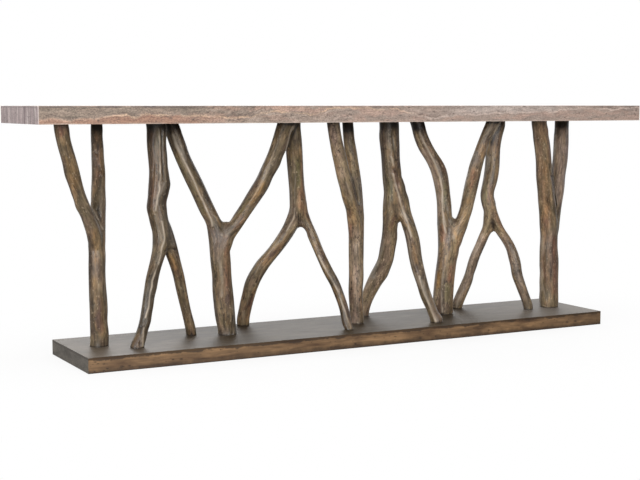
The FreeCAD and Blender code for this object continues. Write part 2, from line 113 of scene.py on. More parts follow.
# Shares of the pale colour (wear on facets, and painted highlight along ridges and rims) and of the dark
# colour (painted shade in hollows, where stain also gathers, and painted shadow at the limbs' feet and tops),
# and how far the painted shadow at a limb's ends and the painted shade over its foot reach, in metres
FACET_WORN = 0.25
FACET_WORN_POWER = 4
RIDGE_WEAR_AND_HIGHLIGHT = 0.7
SHOULDER_WEAR_AND_HIGHLIGHT = 0.3
PALE_HIGHLIGHT_AND_WEAR = 0.8
HOLLOW_STAIN_AND_SHADE = 0.8
FOOT_SHADOW = 0.9
TOP_SHADOW = 0.7
END_LINE = 0.004
FOOT_SHADE = 0.4
FOOT_REACH = 0.022

# Each leg's own lightness, which on leg 8 is also painted light against the shade at its top, and the share
# of dark flecks on the smoother ones
LEG_TONES = {1: 1.05, 2: 0.86, 3: 1.0, 4: 1.28, 5: 1.46, 6: 1.12, 7: 1.42, 8: 1.7, 9: 1.3}
LEG_FLECKS = {1: 0.45, 9: 0.5}

# The gloss of the peeled wood, and the colours that a mark can tint it with, as they show on a screen. The
# dark one is painted shade.
LIMB_GLOSS = {"Coat Weight": 0.35, "Coat Roughness": 0.3, "Sheen Weight": 0.5, "Sheen Roughness": 0.25}
TINT_SHARE = 0.8
TINTS = {
    "gold": (146, 112, 70), "red": (118, 80, 62), "olive": (108, 100, 66),
    "grey": (112, 108, 102), "pink": (146, 124, 110), "dark": (60, 48, 40),
}

# The marks of each leg: kind, half width, strength, and x and y of each point of the line that it follows,
# in pixels of the photograph. A ridge stands out and takes the pale colour, which there is partly wear and
# partly painted highlight; a groove sinks and takes the dark colour as painted shade; deep is that dark
# colour alone, painted shadow under the slab, in grooves and where a limb passes behind another; pale is the
# pale colour alone, painted highlight along rims and ridges, and pale chips of wear; dark is a tint of
# painted shade on the sides of limbs turned from the light, under the slab, in crotches and beside limbs in
# front; the other kinds are tints of the wood's colour.
MARKS = {
    1: (
        ("groove", 0.6, 0.35, 63.9, 157.8, 68, 156.8, 72.2, 157.6),
        ("gold", 4, 0.45, 66, 144, 70.7, 168, 76, 186), ("red", 3.5, 0.8, 59.5, 127, 61, 134),
        ("dark", 1.8, 0.7, 93, 134, 93.2, 160, 93.6, 186), ("groove", 1, 0.8, 95.6, 152.6, 96.6, 154),
        ("groove", 1.1, 0.8, 99, 166, 99.4, 170.5), ("groove", 1, 0.7, 101, 176, 101.4, 182),
        ("red", 4, 0.6, 97, 140, 98, 175), ("ridge", 0.7, 0.8, 91, 204.5, 95, 213, 99, 221, 103.2, 229.5),
        ("groove", 1.3, 0.8, 97, 209, 100.5, 217, 102.5, 222.5), ("gold", 3.5, 0.5, 94.5, 232, 95, 262),
        ("pale", 1.4, 0.35, 96, 262, 98.5, 276, 99, 300), ("gold", 3.5, 0.7, 94.8, 280, 95.5, 298),
        ("groove", 0.6, 0.5, 93, 305.5, 95, 304), ("groove", 0.6, 0.5, 93, 312, 95.2, 310.5),
        ("groove", 0.6, 0.5, 93.6, 318.5, 95.4, 317.5), ("dark", 9, 1, 92, 124, 103, 124),
        ("dark", 3, 1, 89.6, 236, 90.2, 256, 90.4, 276, 91.2, 294, 92.2, 312, 92.8, 332),
        ("dark", 2.4, 0.45, 60.8, 150, 64, 164, 66.8, 176, 70.2, 188, 73.6, 198),
        ("pale", 0.9, 0.6, 92.4, 158, 92, 180, 92.2, 202), ("pale", 0.8, 0.4, 104.6, 190, 104.8, 215),
        ("deep", 7, 1, 92, 126, 103, 126), ("pale", 1.2, 0.4, 104, 250, 104.6, 270, 105, 300),
    ),
    2: (
        ("ridge", 0.8, 0.9, 158.5, 128.5, 159.6, 140, 160.2, 154, 160.3, 168, 160.2, 177, 159, 188, 157.4,
            199, 156, 211),
        ("groove", 1, 0.7, 161.8, 130, 162.4, 150, 163, 166, 163.3, 180),
        ("pale", 0.6, 0.5, 165.4, 132, 165.7, 150, 165.4, 168, 166, 182),
        ("groove", 0.9, 0.4, 153.6, 136, 154.2, 160, 153.6, 178), ("olive", 3, 0.6, 157, 131, 157.5, 146),
        ("ridge", 0.9, 0.8, 161.8, 221, 164.3, 232, 163.9, 242, 161.4, 250.5, 159.4, 260.5),
        ("ridge", 0.8, 0.8, 159.3, 262, 155.6, 271, 152.9, 279.5, 150.6, 291, 148.9, 303, 145.4, 317.5),
        ("groove", 1.3, 1, 141.6, 327, 140.6, 337, 139.6, 345.5),
        ("ridge", 0.9, 0.8, 143.8, 328, 143, 338, 142.6, 346), ("pale", 0.9, 1, 138.3, 344, 138.2, 347),
        ("groove", 1.4, 0.8, 165.5, 251.5, 171, 249.6, 177, 249.6), ("gold", 3.5, 0.8, 171, 256, 175, 266),
        ("pale", 0.8, 0.7, 180.7, 287.6, 181.4, 289), ("grey", 3, 0.6, 169, 215, 170.5, 234, 172.5, 244),
        ("dark", 8, 1, 148, 124, 166, 124),
        ("dark", 2.2, 0.6, 149.2, 136, 149.8, 152, 150.6, 168, 151, 184, 149.8, 198, 148.2, 208, 150.4, 218,
            153.6, 230, 154.6, 244),
        ("pale", 0.9, 1, 159.4, 138, 160.2, 154, 160.3, 168, 160.2, 177, 159, 188),
        ("grey", 3.5, 0.4, 158, 256, 152, 276, 148, 296, 144, 316),
        ("red", 4, 0.55, 152.6, 134, 153.6, 160, 153.4, 185, 151.6, 205),
        ("deep", 5, 1.2, 148, 125, 166, 125), ("deep", 1, 1, 141.6, 327, 140.6, 337, 139.6, 345.5),
        ("dark", 1.6, 0.8, 146, 330, 145.6, 345),
    ),
    3: (
        ("ridge", 0.9, 1, 172.8, 135, 177.4, 148.7, 184.4, 161.5, 191.5, 175.5, 197.6, 190, 203.4, 202.7,
            209.3, 215.5, 212.6, 226),
        ("dark", 3, 0.85, 178.6, 131, 183.6, 142, 189.6, 156, 196.4, 170, 203, 185, 209, 199, 214.6, 211, 221,
            220),
        ("dark", 3.4, 0.7, 224, 227, 229, 227), ("dark", 1.5, 0.7, 274.6, 130, 268, 150, 257, 176, 244, 198),
        ("olive", 3, 0.5, 178, 158, 190, 184, 204, 212), ("gold", 3, 1, 251, 203, 257.4, 193, 262.6, 184),
        ("groove", 1.1, 0.7, 255.4, 185.6, 256.6, 183.6),
        ("pale", 1.4, 0.5, 275, 142, 271, 160, 264, 178, 258, 187), ("olive", 3, 0.6, 247, 200, 241, 212),
        ("red", 3, 0.6, 242, 218.5, 235.5, 228), ("pale", 1.3, 0.45, 240, 218, 233, 228, 226, 236),
        ("groove", 1.6, 0.5, 222.5, 222, 222, 231), ("pale", 1, 0.8, 221.2, 234.6, 222.2, 235.4),
        ("pale", 2, 0.6, 218.6, 258, 221.4, 272, 222.4, 284, 221.4, 296),
        ("red", 3, 0.6, 226.4, 238, 226, 262, 226.6, 290), ("groove", 1.1, 0.4, 215.4, 268, 215.8, 284),
        ("groove", 1.2, 0.9, 233.4, 316, 232.9, 324, 232.4, 334.5),
        ("grey", 1.8, 0.9, 234.6, 306, 235.8, 318, 236.4, 332), ("groove", 1, 0.6, 219.8, 331, 221, 333.4),
        ("dark", 9, 1, 167, 124, 182, 124),
        ("pale", 2, 0.4, 176.2, 146, 182.4, 160, 188.4, 174, 194, 188, 199.4, 201),
        ("pale", 0.8, 0.9, 176.4, 146, 184.4, 161.5, 191.5, 175.5, 197.6, 190, 203.4, 202.7),
        ("dark", 2, 0.35, 267.6, 162, 260.6, 174, 253.2, 186, 247, 196),
        ("pale", 0.8, 1.6, 294.8, 124, 290.3, 133, 287.6, 140.7, 285.4, 148.9),
        ("deep", 2.2, 1.2, 280, 124, 294, 124), ("deep", 6, 1.2, 167, 125, 182, 127),
        ("pale", 1.2, 0.9, 172.8, 133, 177.4, 146, 184.4, 160.5),
    ),
    4: (
        ("groove", 1.3, 0.55, 298, 138, 299.2, 158, 301.6, 178),
        ("dark", 1.6, 0.7, 302.6, 140, 303.4, 164, 304.8, 190), ("dark", 3, 0.6, 300, 221, 301, 226),
        ("olive", 2.6, 0.9, 297.6, 160, 298.6, 186), ("gold", 2, 0.35, 299.4, 150, 299.4, 164),
        ("red", 3, 0.6, 300.6, 184, 300.4, 206),
        ("pale", 0.9, 0.5, 292.4, 138, 293.4, 158, 295, 184, 295.2, 204),
        ("ridge", 0.8, 0.7, 295, 209, 294, 217, 290, 224.5, 286.6, 231.5),
        ("gold", 3, 0.5, 263.4, 263, 266.4, 259), ("gold", 2.6, 0.3, 280, 244, 276.4, 249),
        ("groove", 0.9, 0.8, 260, 272.4, 258.2, 278, 256.6, 283),
        ("groove", 0.8, 0.8, 253, 295, 250.6, 301, 249.4, 307), ("ridge", 0.6, 0.4, 249.6, 295.6, 246.6, 305),
        ("pale", 2.2, 0.5, 243.8, 312, 243.2, 324), ("groove", 0.6, 1, 298.4, 214, 299.4, 221),
        ("groove", 0.6, 1, 300.6, 214, 301.4, 222), ("groove", 0.6, 0.8, 302.6, 217, 303.4, 223),
        ("ridge", 0.8, 0.55, 309.6, 222, 312, 229, 315, 238),
        ("ridge", 0.9, 0.9, 319, 255, 323, 264, 327.3, 271.8, 333.2, 281.8, 337.8, 291, 341, 300, 344.8, 311,
            348.6, 322, 350.8, 329.5),
        ("gold", 2, 0.8, 325, 268, 330, 277), ("gold", 2, 0.8, 335, 287, 338, 293),
        ("pale", 1.8, 0.55, 288.8, 160, 290, 172, 291, 184, 291.8, 196, 291.6, 206, 290.6, 214),
        ("deep", 1.5, 1.1, 297.6, 126, 292.8, 135, 289, 146), ("deep", 2.4, 1, 297, 124.5, 300, 125),
        ("dark", 2.6, 0.8, 344, 318, 349, 331),
    ),
    5: (
        ("pale", 1.1, 0.6, 346, 182, 350.4, 193, 352.4, 203), ("gold", 3, 0.3, 353, 203, 353.6, 216),
        ("olive", 3.5, 0.6, 342, 164, 346, 178),
        ("groove", 0.9, 1, 350.4, 173.5, 352.4, 182, 355.4, 193, 359, 204.5),
        ("grey", 2.2, 0.7, 359.6, 178, 361.4, 204), ("red", 2.5, 0.8, 350.6, 226, 351, 236),
        ("olive", 3, 0.25, 355.8, 236, 356, 262), ("pale", 1.6, 0.35, 356.4, 244, 356.6, 270),
        ("groove", 0.5, 0.4, 352.6, 285.6, 355.6, 285), ("pale", 0.6, 0.7, 352.4, 293.6, 355.4, 293.4),
        ("pale", 0.8, 0.8, 357, 322, 358.2, 323.6), ("dark", 7, 1, 345, 124, 354, 124),
        ("deep", 7, 1.2, 345, 127, 354, 127), ("pink", 5, 0.6, 355, 232, 355, 330),
        ("pink", 4, 0.7, 333, 128, 337, 150, 343, 176),
    ),
    6: (
        ("pale", 1.2, 0.5, 387.4, 128, 388.8, 141, 389.6, 150),
        ("groove", 1.2, 0.6, 392.4, 134, 393.4, 148, 395, 160),
        ("ridge", 0.9, 1, 391.2, 157, 392.4, 162, 393.4, 166), ("groove", 1.7, 0.9, 394, 169.2, 394.4, 169.6),
        ("pale", 0.7, 1, 394.2, 169, 394.6, 169.4),
        ("ridge", 0.9, 1, 393, 174, 395.2, 183, 398.2, 193, 400.8, 204, 405, 215, 408, 223.5, 411.4, 236),
        ("groove", 0.9, 0.6, 397, 170, 398.4, 180), ("olive", 3.5, 0.8, 390, 182, 391.6, 198),
        ("groove", 2.6, 0.5, 395.4, 206, 396.8, 220),
        ("dark", 1.6, 0.8, 399, 190, 402.6, 202, 406.4, 212, 410, 222),
        ("dark", 2, 0.6, 382, 134, 383, 152, 384, 176),
        ("ridge", 0.9, 0.9, 419, 276, 422.3, 289, 427.6, 301, 432.4, 313, 436, 322),
        ("gold", 2.4, 0.6, 413, 246, 416, 262), ("groove", 1, 0.7, 419.4, 262, 420.2, 268),
        ("grey", 2.4, 0.8, 376.4, 266, 373.4, 277), ("groove", 1, 0.5, 384.4, 275, 382.8, 283),
        ("groove", 2, 0.5, 367.2, 302, 367, 314), ("dark", 7, 0.9, 381, 124, 398, 124),
        ("pale", 2, 0.7, 383.6, 240, 381.6, 249, 380.2, 256, 377.6, 264, 373.6, 272, 370, 280, 366.4, 288),
        ("pale", 1.8, 0.6, 406.2, 232, 408.2, 240, 409.6, 249, 411, 257, 412.2, 265, 415.2, 273, 420.4, 288),
        ("dark", 1.8, 0.6, 417.4, 240, 420.4, 257, 421.2, 265, 423.6, 273, 428.4, 288),
        ("deep", 5, 1.1, 381, 125, 398, 125), ("dark", 2.4, 1, 397.6, 130, 397.8, 142, 398, 154, 398.6, 166),
        ("pale", 1, 1, 392.4, 160, 393.6, 166), ("groove", 1.2, 1, 394.4, 168.6, 395.4, 171.6),
    ),
    7: (
        ("ridge", 0.9, 0.9, 418.8, 131, 420.8, 137, 425.2, 145.6, 431.6, 156.8, 437.2, 169, 440.8, 182, 442.4,
            196.6, 442.8, 214, 444.2, 225, 446, 233),
        ("pink", 3, 0.7, 424, 152, 433, 172, 438.4, 190, 439.6, 212),
        ("olive", 2.4, 0.9, 444.6, 185, 446, 204), ("red", 2.2, 0.8, 441, 158, 444, 170),
        ("red", 2.4, 0.8, 442.4, 226, 441.8, 240),
        ("dark", 2.6, 0.9, 421, 130, 427.6, 141, 435, 153, 441.6, 165, 446.2, 179, 448, 195, 449, 208),
        ("groove", 1.6, 0.6, 447, 208, 448.4, 217, 448.6, 228, 448.4, 240),
        ("grey", 3, 0.9, 450.4, 221, 450.4, 230, 448.8, 242), ("gold", 3, 0.9, 481.4, 146, 481, 156),
        ("gold", 3, 0.6, 474.6, 168, 472.8, 180), ("red", 2.8, 0.7, 473.6, 172, 471.6, 186),
        ("gold", 3, 0.5, 468.6, 200, 464.6, 214, 460, 226),
        ("grey", 2, 0.8, 475.4, 152, 467.8, 174, 461.2, 198), ("gold", 2.2, 0.9, 455.4, 233, 456.2, 237),
        ("pale", 1.1, 0.5, 458.2, 230, 453.4, 240, 450.6, 246),
        ("ridge", 1.2, 0.45, 447.8, 250, 446.2, 260, 444.8, 268, 442.6, 277, 441.4, 288),
        ("ridge", 1, 0.6, 441.4, 291, 441.8, 300, 442.4, 312), ("gold", 2.4, 1, 438.4, 274, 437.4, 286),
        ("red", 3, 0.8, 450.6, 268, 449.6, 280), ("pale", 0.7, 1, 444.6, 285.6, 445, 286.2),
        ("olive", 3, 0.8, 447, 286, 446.6, 300), ("dark", 7, 1, 414, 124, 424, 123),
        ("pale", 2, 0.5, 422.6, 150, 427.6, 160, 434.4, 177, 436.6, 187, 437.4, 198, 438.8, 210),
        ("pale", 0.8, 1.6, 500, 122, 496.7, 128.1, 492.9, 135.3, 489.5, 142.6, 487.1, 147.9, 485.8, 152.7),
        ("deep", 2, 1.2, 487, 122, 498, 122), ("deep", 5, 1.2, 414, 126, 424, 126),
    ),
    8: (
        ("groove", 0.7, 0.8, 489.4, 163, 489.8, 166), ("groove", 0.7, 0.7, 489.6, 169, 489.8, 171),
        ("grey", 2.4, 0.9, 487.4, 158, 485.6, 176), ("olive", 2.4, 1, 484.6, 184, 484, 202),
        ("pale", 1.2, 0.5, 484.6, 196, 485, 203), ("gold", 2, 0.6, 494, 142, 494.6, 156),
        ("red", 2.4, 0.5, 489, 186, 488.8, 200), ("groove", 2.2, 0.8, 493, 221, 493.6, 228),
        ("dark", 3, 0.8, 493, 214, 493.6, 229), ("dark", 1.8, 0.7, 495.4, 150, 494, 172, 492, 188),
        ("ridge", 0.9, 0.35, 481.4, 232, 476, 246, 471.4, 260),
        ("ridge", 0.8, 0.8, 463.4, 289.5, 460.4, 295, 457.4, 301, 456, 307),
        ("pink", 2.2, 0.6, 474, 252, 469.6, 264), ("groove", 1, 0.5, 475.8, 258, 470.6, 276),
        ("groove", 1, 0.4, 509.6, 244, 512.4, 249), ("pale", 1, 0.5, 513, 249, 516, 258),
        ("dark", 4, 0.8, 498, 123, 503, 123),
        ("pale", 2.2, 0.8, 482, 234, 478.6, 241, 475.4, 249, 472.2, 257, 469, 267, 466.6, 275, 463.4, 283,
            457.2, 297),
        ("dark", 2, 0.9, 490.4, 234, 485.6, 242, 481.8, 250, 478.6, 259, 475.8, 268, 473, 276, 466.8, 291),
        ("pale", 2, 0.7, 488.2, 158, 486.8, 166, 485.6, 176, 484.4, 186, 483, 194, 483.8, 204, 485.6, 214),
        ("dark", 2, 0.7, 498.2, 156, 497.4, 166, 496.8, 174, 494.8, 184, 492.4, 193, 493.2, 204),
        ("dark", 1.8, 0.7, 505.6, 234, 510.6, 243, 514.8, 251, 518, 260, 520.2, 270, 522.6, 278, 529.6, 297),
        ("pink", 5, 0.6, 482, 238, 474, 256, 468, 276, 458, 296),
        ("pink", 5, 0.5, 504, 238, 512, 254, 517, 272, 524, 296),
        ("deep", 1.5, 1.1, 501.5, 124, 498.6, 129, 495.2, 136, 491.8, 143),
    ),
    9: (
        ("groove", 0.9, 1, 552.4, 176, 554.2, 190, 556.2, 204.5),
        ("ridge", 0.6, 0.5, 553.8, 178, 555.6, 192, 557.4, 204),
        ("gold", 3, 0.35, 545.6, 166, 547, 196, 546.6, 216), ("groove", 1, 0.5, 549, 164, 549.4, 168),
        ("groove", 0.8, 0.5, 545.8, 140, 546, 144), ("red", 2.6, 0.9, 554.2, 238, 555.4, 292),
        ("pale", 1.2, 0.45, 549.6, 212, 549.4, 232), ("pink", 5, 1, 562, 130, 560.6, 176, 559.8, 200),
        ("dark", 6, 0.8, 558, 123, 568, 123), ("pale", 1.8, 0.7, 556.4, 136, 556, 146, 555.6, 154),
        ("pale", 2.2, 0.6, 542.4, 232, 542.4, 250, 541.8, 262, 541.8, 276, 541.8, 290),
        ("dark", 2.2, 0.45, 556.2, 236, 556, 254, 556, 272, 556.4, 300),
        ("deep", 4.4, 1.2, 561, 124.6, 568, 124.6), ("red", 5, 0.35, 538, 130, 545, 200, 549, 280),
        ("pale", 2.2, 0.4, 534.6, 128, 535.8, 140, 537.2, 152),
        ("pale", 1, 0.5, 543, 284, 546, 298, 547.6, 306), ("pale", 0.7, 0.9, 543.6, 305.4, 547.4, 307.2),
    ),
}

# Cuts that a drawknife left across one limb, each a groove with painted shade in it: from, to, how many, and
# a cut's size, all in those pixels
CHATTER_LEG = 5
CHATTER_START = (332.6, 127)
CHATTER_END = (338.4, 152)
CHATTER_CUTS = 11
CHATTER_HALF = 2.4
CHATTER_SLANT = 1.2
CHATTER_WIDTH = 0.55
CHATTER_STRENGTH = 0.5

# Flesh that rounds the forks of a leg: its middle, and its half width and half height, in those pixels
WEBS = {
    3: (((226, 230.5), (8.5, 9.2)), ((219.5, 224), (4.5, 5))),
    4: (((300.5, 219.5), (7, 8)),),
    7: (((454.6, 226.5), (6.5, 8)),),
    8: (((493.7, 224), (8, 7.5)),),
}

# Moves that bring each leg's outline to the photograph's: place, step to the right and reach, in those pixels
WOOD_SHIFT = -0.5
GRABS = {
    1: (
        ((66, 175), -1.2, 9), ((77, 208), -1.2, 6), ((88, 243), -0.8, 7), ((70, 129), 0.8, 7),
        ((104, 160), -0.9, 11), ((106, 208), 1.3, 15), ((105, 248), -0.7, 7), ((108, 321), -1.4, 10),
        ((103, 129), 0.8, 6),
    ),
    2: (
        ((149, 172), 1.2, 15), ((147, 208), -1.7, 8), ((152, 232), 1.1, 8), ((146, 278), -0.6, 10),
        ((166, 203), -2.8, 9), ((170, 184), 0.9, 5), ((154, 297), -0.8, 7), ((150, 322), 0.9, 7),
        ((186, 285), -0.6, 10), ((134, 344), -1.6, 9), ((167, 214), -0.8, 5), ((168, 166), -0.8, 7),
    ),
    3: (
        ((206, 222), 1.5, 9), ((186, 143), 1, 9), ((255, 178), 0.9, 12), ((273, 176), -1.8, 10),
        ((283, 157), -0.8, 7), ((234, 237), -1.3, 7), ((232, 280), -0.8, 18), ((213, 276), 0.7, 10),
        ((292, 134), -1.6, 6),
    ),
    4: (
        ((288, 209), 0.8, 7), ((258, 259), -0.9, 9), ((243, 292), 0.6, 8), ((303, 150), 0.4, 20),
        ((307, 200), 1.3, 8), ((318, 236), 0.6, 10), ((341, 284), 0.5, 9), ((306, 231), 1.4, 5),
        ((330, 283), 0.7, 9), ((343, 330), 2.4, 5),
    ),
    5: (
        ((338, 180), -0.6, 14), ((343, 197), -0.5, 7), ((346, 210), 0.6, 6), ((348, 292), -0.8, 12),
        ((355, 140), -0.6, 9), ((364, 217), 0.5, 9), ((364, 277), 0.5, 9),
    ),
    6: (
        ((379, 136), -1.1, 10), ((384, 193), 0.9, 9), ((376, 260), 1.7, 10), ((400, 147), 0.6, 10),
        ((407, 191), -2, 7), ((422, 257), -1.1, 13), ((397, 228), -1.1, 6), ((395, 250), -0.7, 9),
        ((387, 277), 1.2, 7), ((404, 183), -1.6, 5), ((441, 318), 2.6, 5), ((421, 298), -1, 10),
        ((407, 190), -0.6, 6),
    ),
    7: (
        ((420, 150), -0.8, 10), ((437, 215), -0.8, 15), ((436, 270), -0.5, 15), ((426, 129), -0.7, 7),
        ((444, 165), 0.8, 10), ((451, 205), 0.6, 9), ((470, 163), -0.5, 9), ((460, 247), 2.8, 8),
        ((471, 211), 0.5, 7), ((455, 275), -0.4, 12), ((458, 255), 0.8, 6), ((492, 140), -2.2, 6),
    ),
    8: (
        ((481, 195), -1.3, 11), ((482, 226), 0.9, 8), ((465, 273), 1, 13), ((501, 150), -1, 17),
        ((494, 193), -1.6, 8), ((505, 230), -0.9, 10), ((522, 274), -0.9, 9), ((480, 256), -0.5, 12),
        ((492, 231), 1, 4), ((512, 276), -0.8, 8), ((506, 250), 0.5, 6), ((475, 274), -0.9, 6),
    ),
    9: (
        ((532, 130), 0.9, 7), ((538, 190), 0.8, 10), ((540, 236), 0.9, 11), ((538, 299), -0.8, 6),
        ((566, 175), -0.9, 11), ((557, 247), -0.8, 10), ((549, 129), 1.2, 5), ((540, 273), 0.6, 6),
    ),
}

# Places where a leg's wood is lighter or darker, partly the wood's own colour and partly painted light and
# shade: place, share and reach, in those pixels
TONE_LIGHT_AND_SHADE_SPOTS = {
    1: (
        ((98, 290), -0.08, 40), ((104, 255), 0.3, 6), ((104, 280), 0.3, 6), ((105, 305), 0.3, 6),
        ((92, 162), 0.2, 5), ((93, 184), 0.4, 5), ((60, 128), -0.2, 8),
    ),
    2: (
        ((157, 150), -0.22, 26), ((157, 200), -0.26, 30), ((155, 240), -0.25, 5), ((175, 246), 0.3, 5),
        ((154, 275), -0.46, 13), ((149, 300), -0.48, 13), ((143, 325), -0.46, 13), ((172, 264), 0.35, 11),
        ((177, 287), 0.5, 13), ((182, 312), 0.5, 14),
    ),
    3: (((171, 142), 0.35, 5), ((177, 158), 0.3, 5), ((213, 272), 0.3, 7), ((224, 300), -0.1, 25)),
    4: (
        ((298, 180), 0.12, 25), ((288, 160), 0.3, 5), ((320, 262), -0.46, 13), ((332, 285), -0.6, 14),
        ((344, 312), -0.62, 14),
    ),
    5: (((355, 250), -0.14, 24), ((355, 295), -0.14, 26)),
    6: (((383, 145), 0.35, 8), ((380, 252), 0.7, 12), ((371, 276), 1.1, 13), ((366, 300), 0.95, 13)),
    7: (((419, 139), 0.5, 8), ((425, 150), 0.4, 9), ((435, 178), 0.15, 10), ((492, 140), -0.3, 12)),
    8: (
        ((485, 172), 0.35, 9), ((478, 244), 0.1, 9), ((468, 274), -0.14, 12), ((459, 294), -0.22, 12),
        ((509, 248), -0.3, 12), ((517, 272), -0.48, 13), ((525, 296), -0.56, 14),
    ),
    9: (((535, 132), 0.5, 6), ((556, 140), 0.6, 5), ((549, 260), -0.12, 40)),
}

# The pale vein along the slab's front, in two parts: shares of the slab's length and of its thickness
LEFT_VEIN_SHARES = (
    (0, 0.2), (0.022, 0.28), (0.04, 0.22), (0.074, 0.29), (0.109, 0.46), (0.134, 0.42), (0.144, 0.56),
    (0.163, 0.46), (0.233, 0.46), (0.251, 0.35), (0.277, 0.35), (0.307, 0.42), (0.339, 0.66), (0.374, 0.6),
    (0.397, 0.53), (0.419, 0.76), (0.435, 0.88), (0.489, 0.81), (0.56, 0.84), (1, 0.84),
)
RIGHT_VEIN_SHARES = (
    (0, 0.1), (0.5, 0.1), (0.585, 0.27), (0.614, 0.28), (0.639, 0.37), (0.66, 0.45), (0.678, 0.36),
    (0.691, 0.43), (0.74, 0.56), (0.772, 0.56), (0.791, 0.65), (0.824, 0.61), (0.838, 0.73), (0.865, 0.79),
    (0.936, 0.77), (0.965, 0.82), (1, 0.88),
)
VEIN_TURN = (0.53, 0.59)
VEIN_WANDER = 0.5
VEIN_WIDTH = 0.08
VEIN_SHADE_RISE = 0.13
VEIN_SHADE_WIDTH = 0.07

# Where grey stone takes over from pink: over the vein, but in the slab's middle span below it, and in patches
GREY_RISE = (-0.16, 0.16)
GREY_MIDDLE = ((0.20, 0.30), (0.50, 0.42))
GREY_SHARE = 0.6
GREY_PATCHES = (0.42, 0.62)
GREY_PATCH_SPAN = (0.12, 0.3, 0.25, 1.25)

# Where the slab's front changes along its length, or over the vein for its mottling: from and to, and where
# there are four numbers, from which strength to which
VEIN_PALER = (0.04, 0.14)
MOTTLE_SPAN = (-0.1, 0.1, 0.3, 0.9)
THREAD_SPAN = (0.24, 0.36, 0.75, 0.3)
SPECK_SPAN = (0.3, 0.6, 0.85, 0.6)
ARRIS_SPAN = (0.18, 0.34, 1.0, 0.35)

# Tints of the slab's front: colour, strength, and where along the slab and over the vein each sets in
SLAB_TINTS = {
    "olive": ((128, 116, 102), 0.55, [(0.34, 0.16)], [(-0.1, 0.2)]),
    "rusty": ((154, 114, 92), 0.7, [(0.30, 0.16)], [(0.06, -0.12)]),
    "milky": ((176, 158, 149), 0.45, [(0.2, 0.62)], []),
    "cloudy": ((196, 182, 174), 0.6, [(0.60, 0.68), (0.90, 0.80)], [(-0.05, 0.12)]),
    "dull": ((126, 114, 110), 0.5, [(0.95, 0.99)], [(-0.3, 0.1)]),
}

# Lines along the edges of the slab and the plinth: where each sets in and is full, in metres from the edge
SLAB_ARRIS = (0.0065, 0.0025)
SLAB_END_ARRIS = (0.0065, 0.002)
SLAB_FOOT = (0.005, 0.002)
# The slab's corner line is a painted highlight on its eased edge.
SLAB_CORNER_HIGHLIGHT = (0.0032, 0.001)
BOARD_HEAD = (0.0112, 0.0072)
BOARD_FOOT = (0.024, 0.003)
BOARD_SOLE = (0.003, 0.0008)
BOARD_WANDER = 0.03
HEAD_DROP = 0.003
HEAD_DROP_REACH = 0.7
RIGHT_END = (0.3, 0.02)

# The deck: its darker edge, and where its painted shade over the middle and its painted sheen at both ends
# set in along it, in metres, and how far its sides face out
DECK_EDGE = (0.0005, 0.004)
DECK_EDGE_WANDER = 0.008
DECK_SHADED_MIDDLE = (0.95, 0.35)
DECK_RIGHT_SHEEN = 0.5
DECK_LEFT_SHEEN = -0.6
SIDE_FACING = (0.4, 0.7)

# Colours of the plinth's long boards, and their knots: shares of the front's length and height, and a radius
BOARD_COLOURS = ((84, 62, 44), (122, 95, 68), (150, 118, 84))
KNOT_SQUEEZE = 0.6
KNOT_RAGGED = 1.6
KNOT_SHARES = (
    (0.055, 0.28, 0.008), (0.066, 0.29, 0.006), (0.139, 0.42, 0.006), (0.153, 0.4, 0.007),
    (0.921, 0.4, 0.008), (0.94, 0.42, 0.009), (0.011, 0.73, 0.005), (0.01, 0.12, 0.005), (0.025, 0.55, 0.005),
    (0.025, 0.13, 0.005), (0.47, 0.3, 0.006), (0.6, 0.25, 0.007), (0.745, 0.36, 0.006),
)

# The floor: sizes in metres, how white it shows near the table, further off and in reflections, and how
# light its own grey is to the camera and to other light
FLOOR_SIZE = 30
FLOOR_DROP = 0.0005
FLOOR_SQUEEZE = (0.6, 1, 1)
FLOOR_FADE = (0.3, 1.3)
FLOOR_WHITE = (0.84, 1.0)
FLOOR_MIRRORED = 0.2
FLOOR_SEEN = 0.95
FLOOR_LIT = 0.05
FLOOR_ROUGHNESS = 0.9

# The world's light: it grows towards the back in reflections, and with height in diffuse light. A range says
# from what to what the direction goes, and then the light.
WORLD_BACK = (0.47, 0.88, 0)
MIRROR_RANGE = (-0.5, 0.3, 0.07, 1.0)
SKY_RANGE = (0.2, 0.7, 0.0, 0.5)

# The lamps: place, aim, size and power
LIGHTS = {
    "key": ((-7.6, -5.2, 2.3), (0, 0, 0.5), (5.0, 3.0), 560),
    "front": ((-0.8, -7.5, 1.8), (0, 0, 0.5), (4.0, 2.4), 290),
    "top": ((0, -0.6, 4.0), (0, 0, 0.3), (5.0, 2.0), 60),
    "back": ((2.0, 6.0, 3.6), (0, 0, 0.4), (5.0, 2.4), 150),
}


def linear(red, green, blue):
    """A colour given as it shows on a screen, from 0 to 255, as the linear values that a shader takes."""
    shares = [value / 255 for value in (red, green, blue)]
    values = [s / 12.92 if s <= 0.04045 else ((s + 0.055) / 1.055) ** 2.4 for s in shares]
    return (*values, 1.0)


def grey(level):
    """A grey as the linear values that a shader takes."""
    return (level, level, level, 1.0)


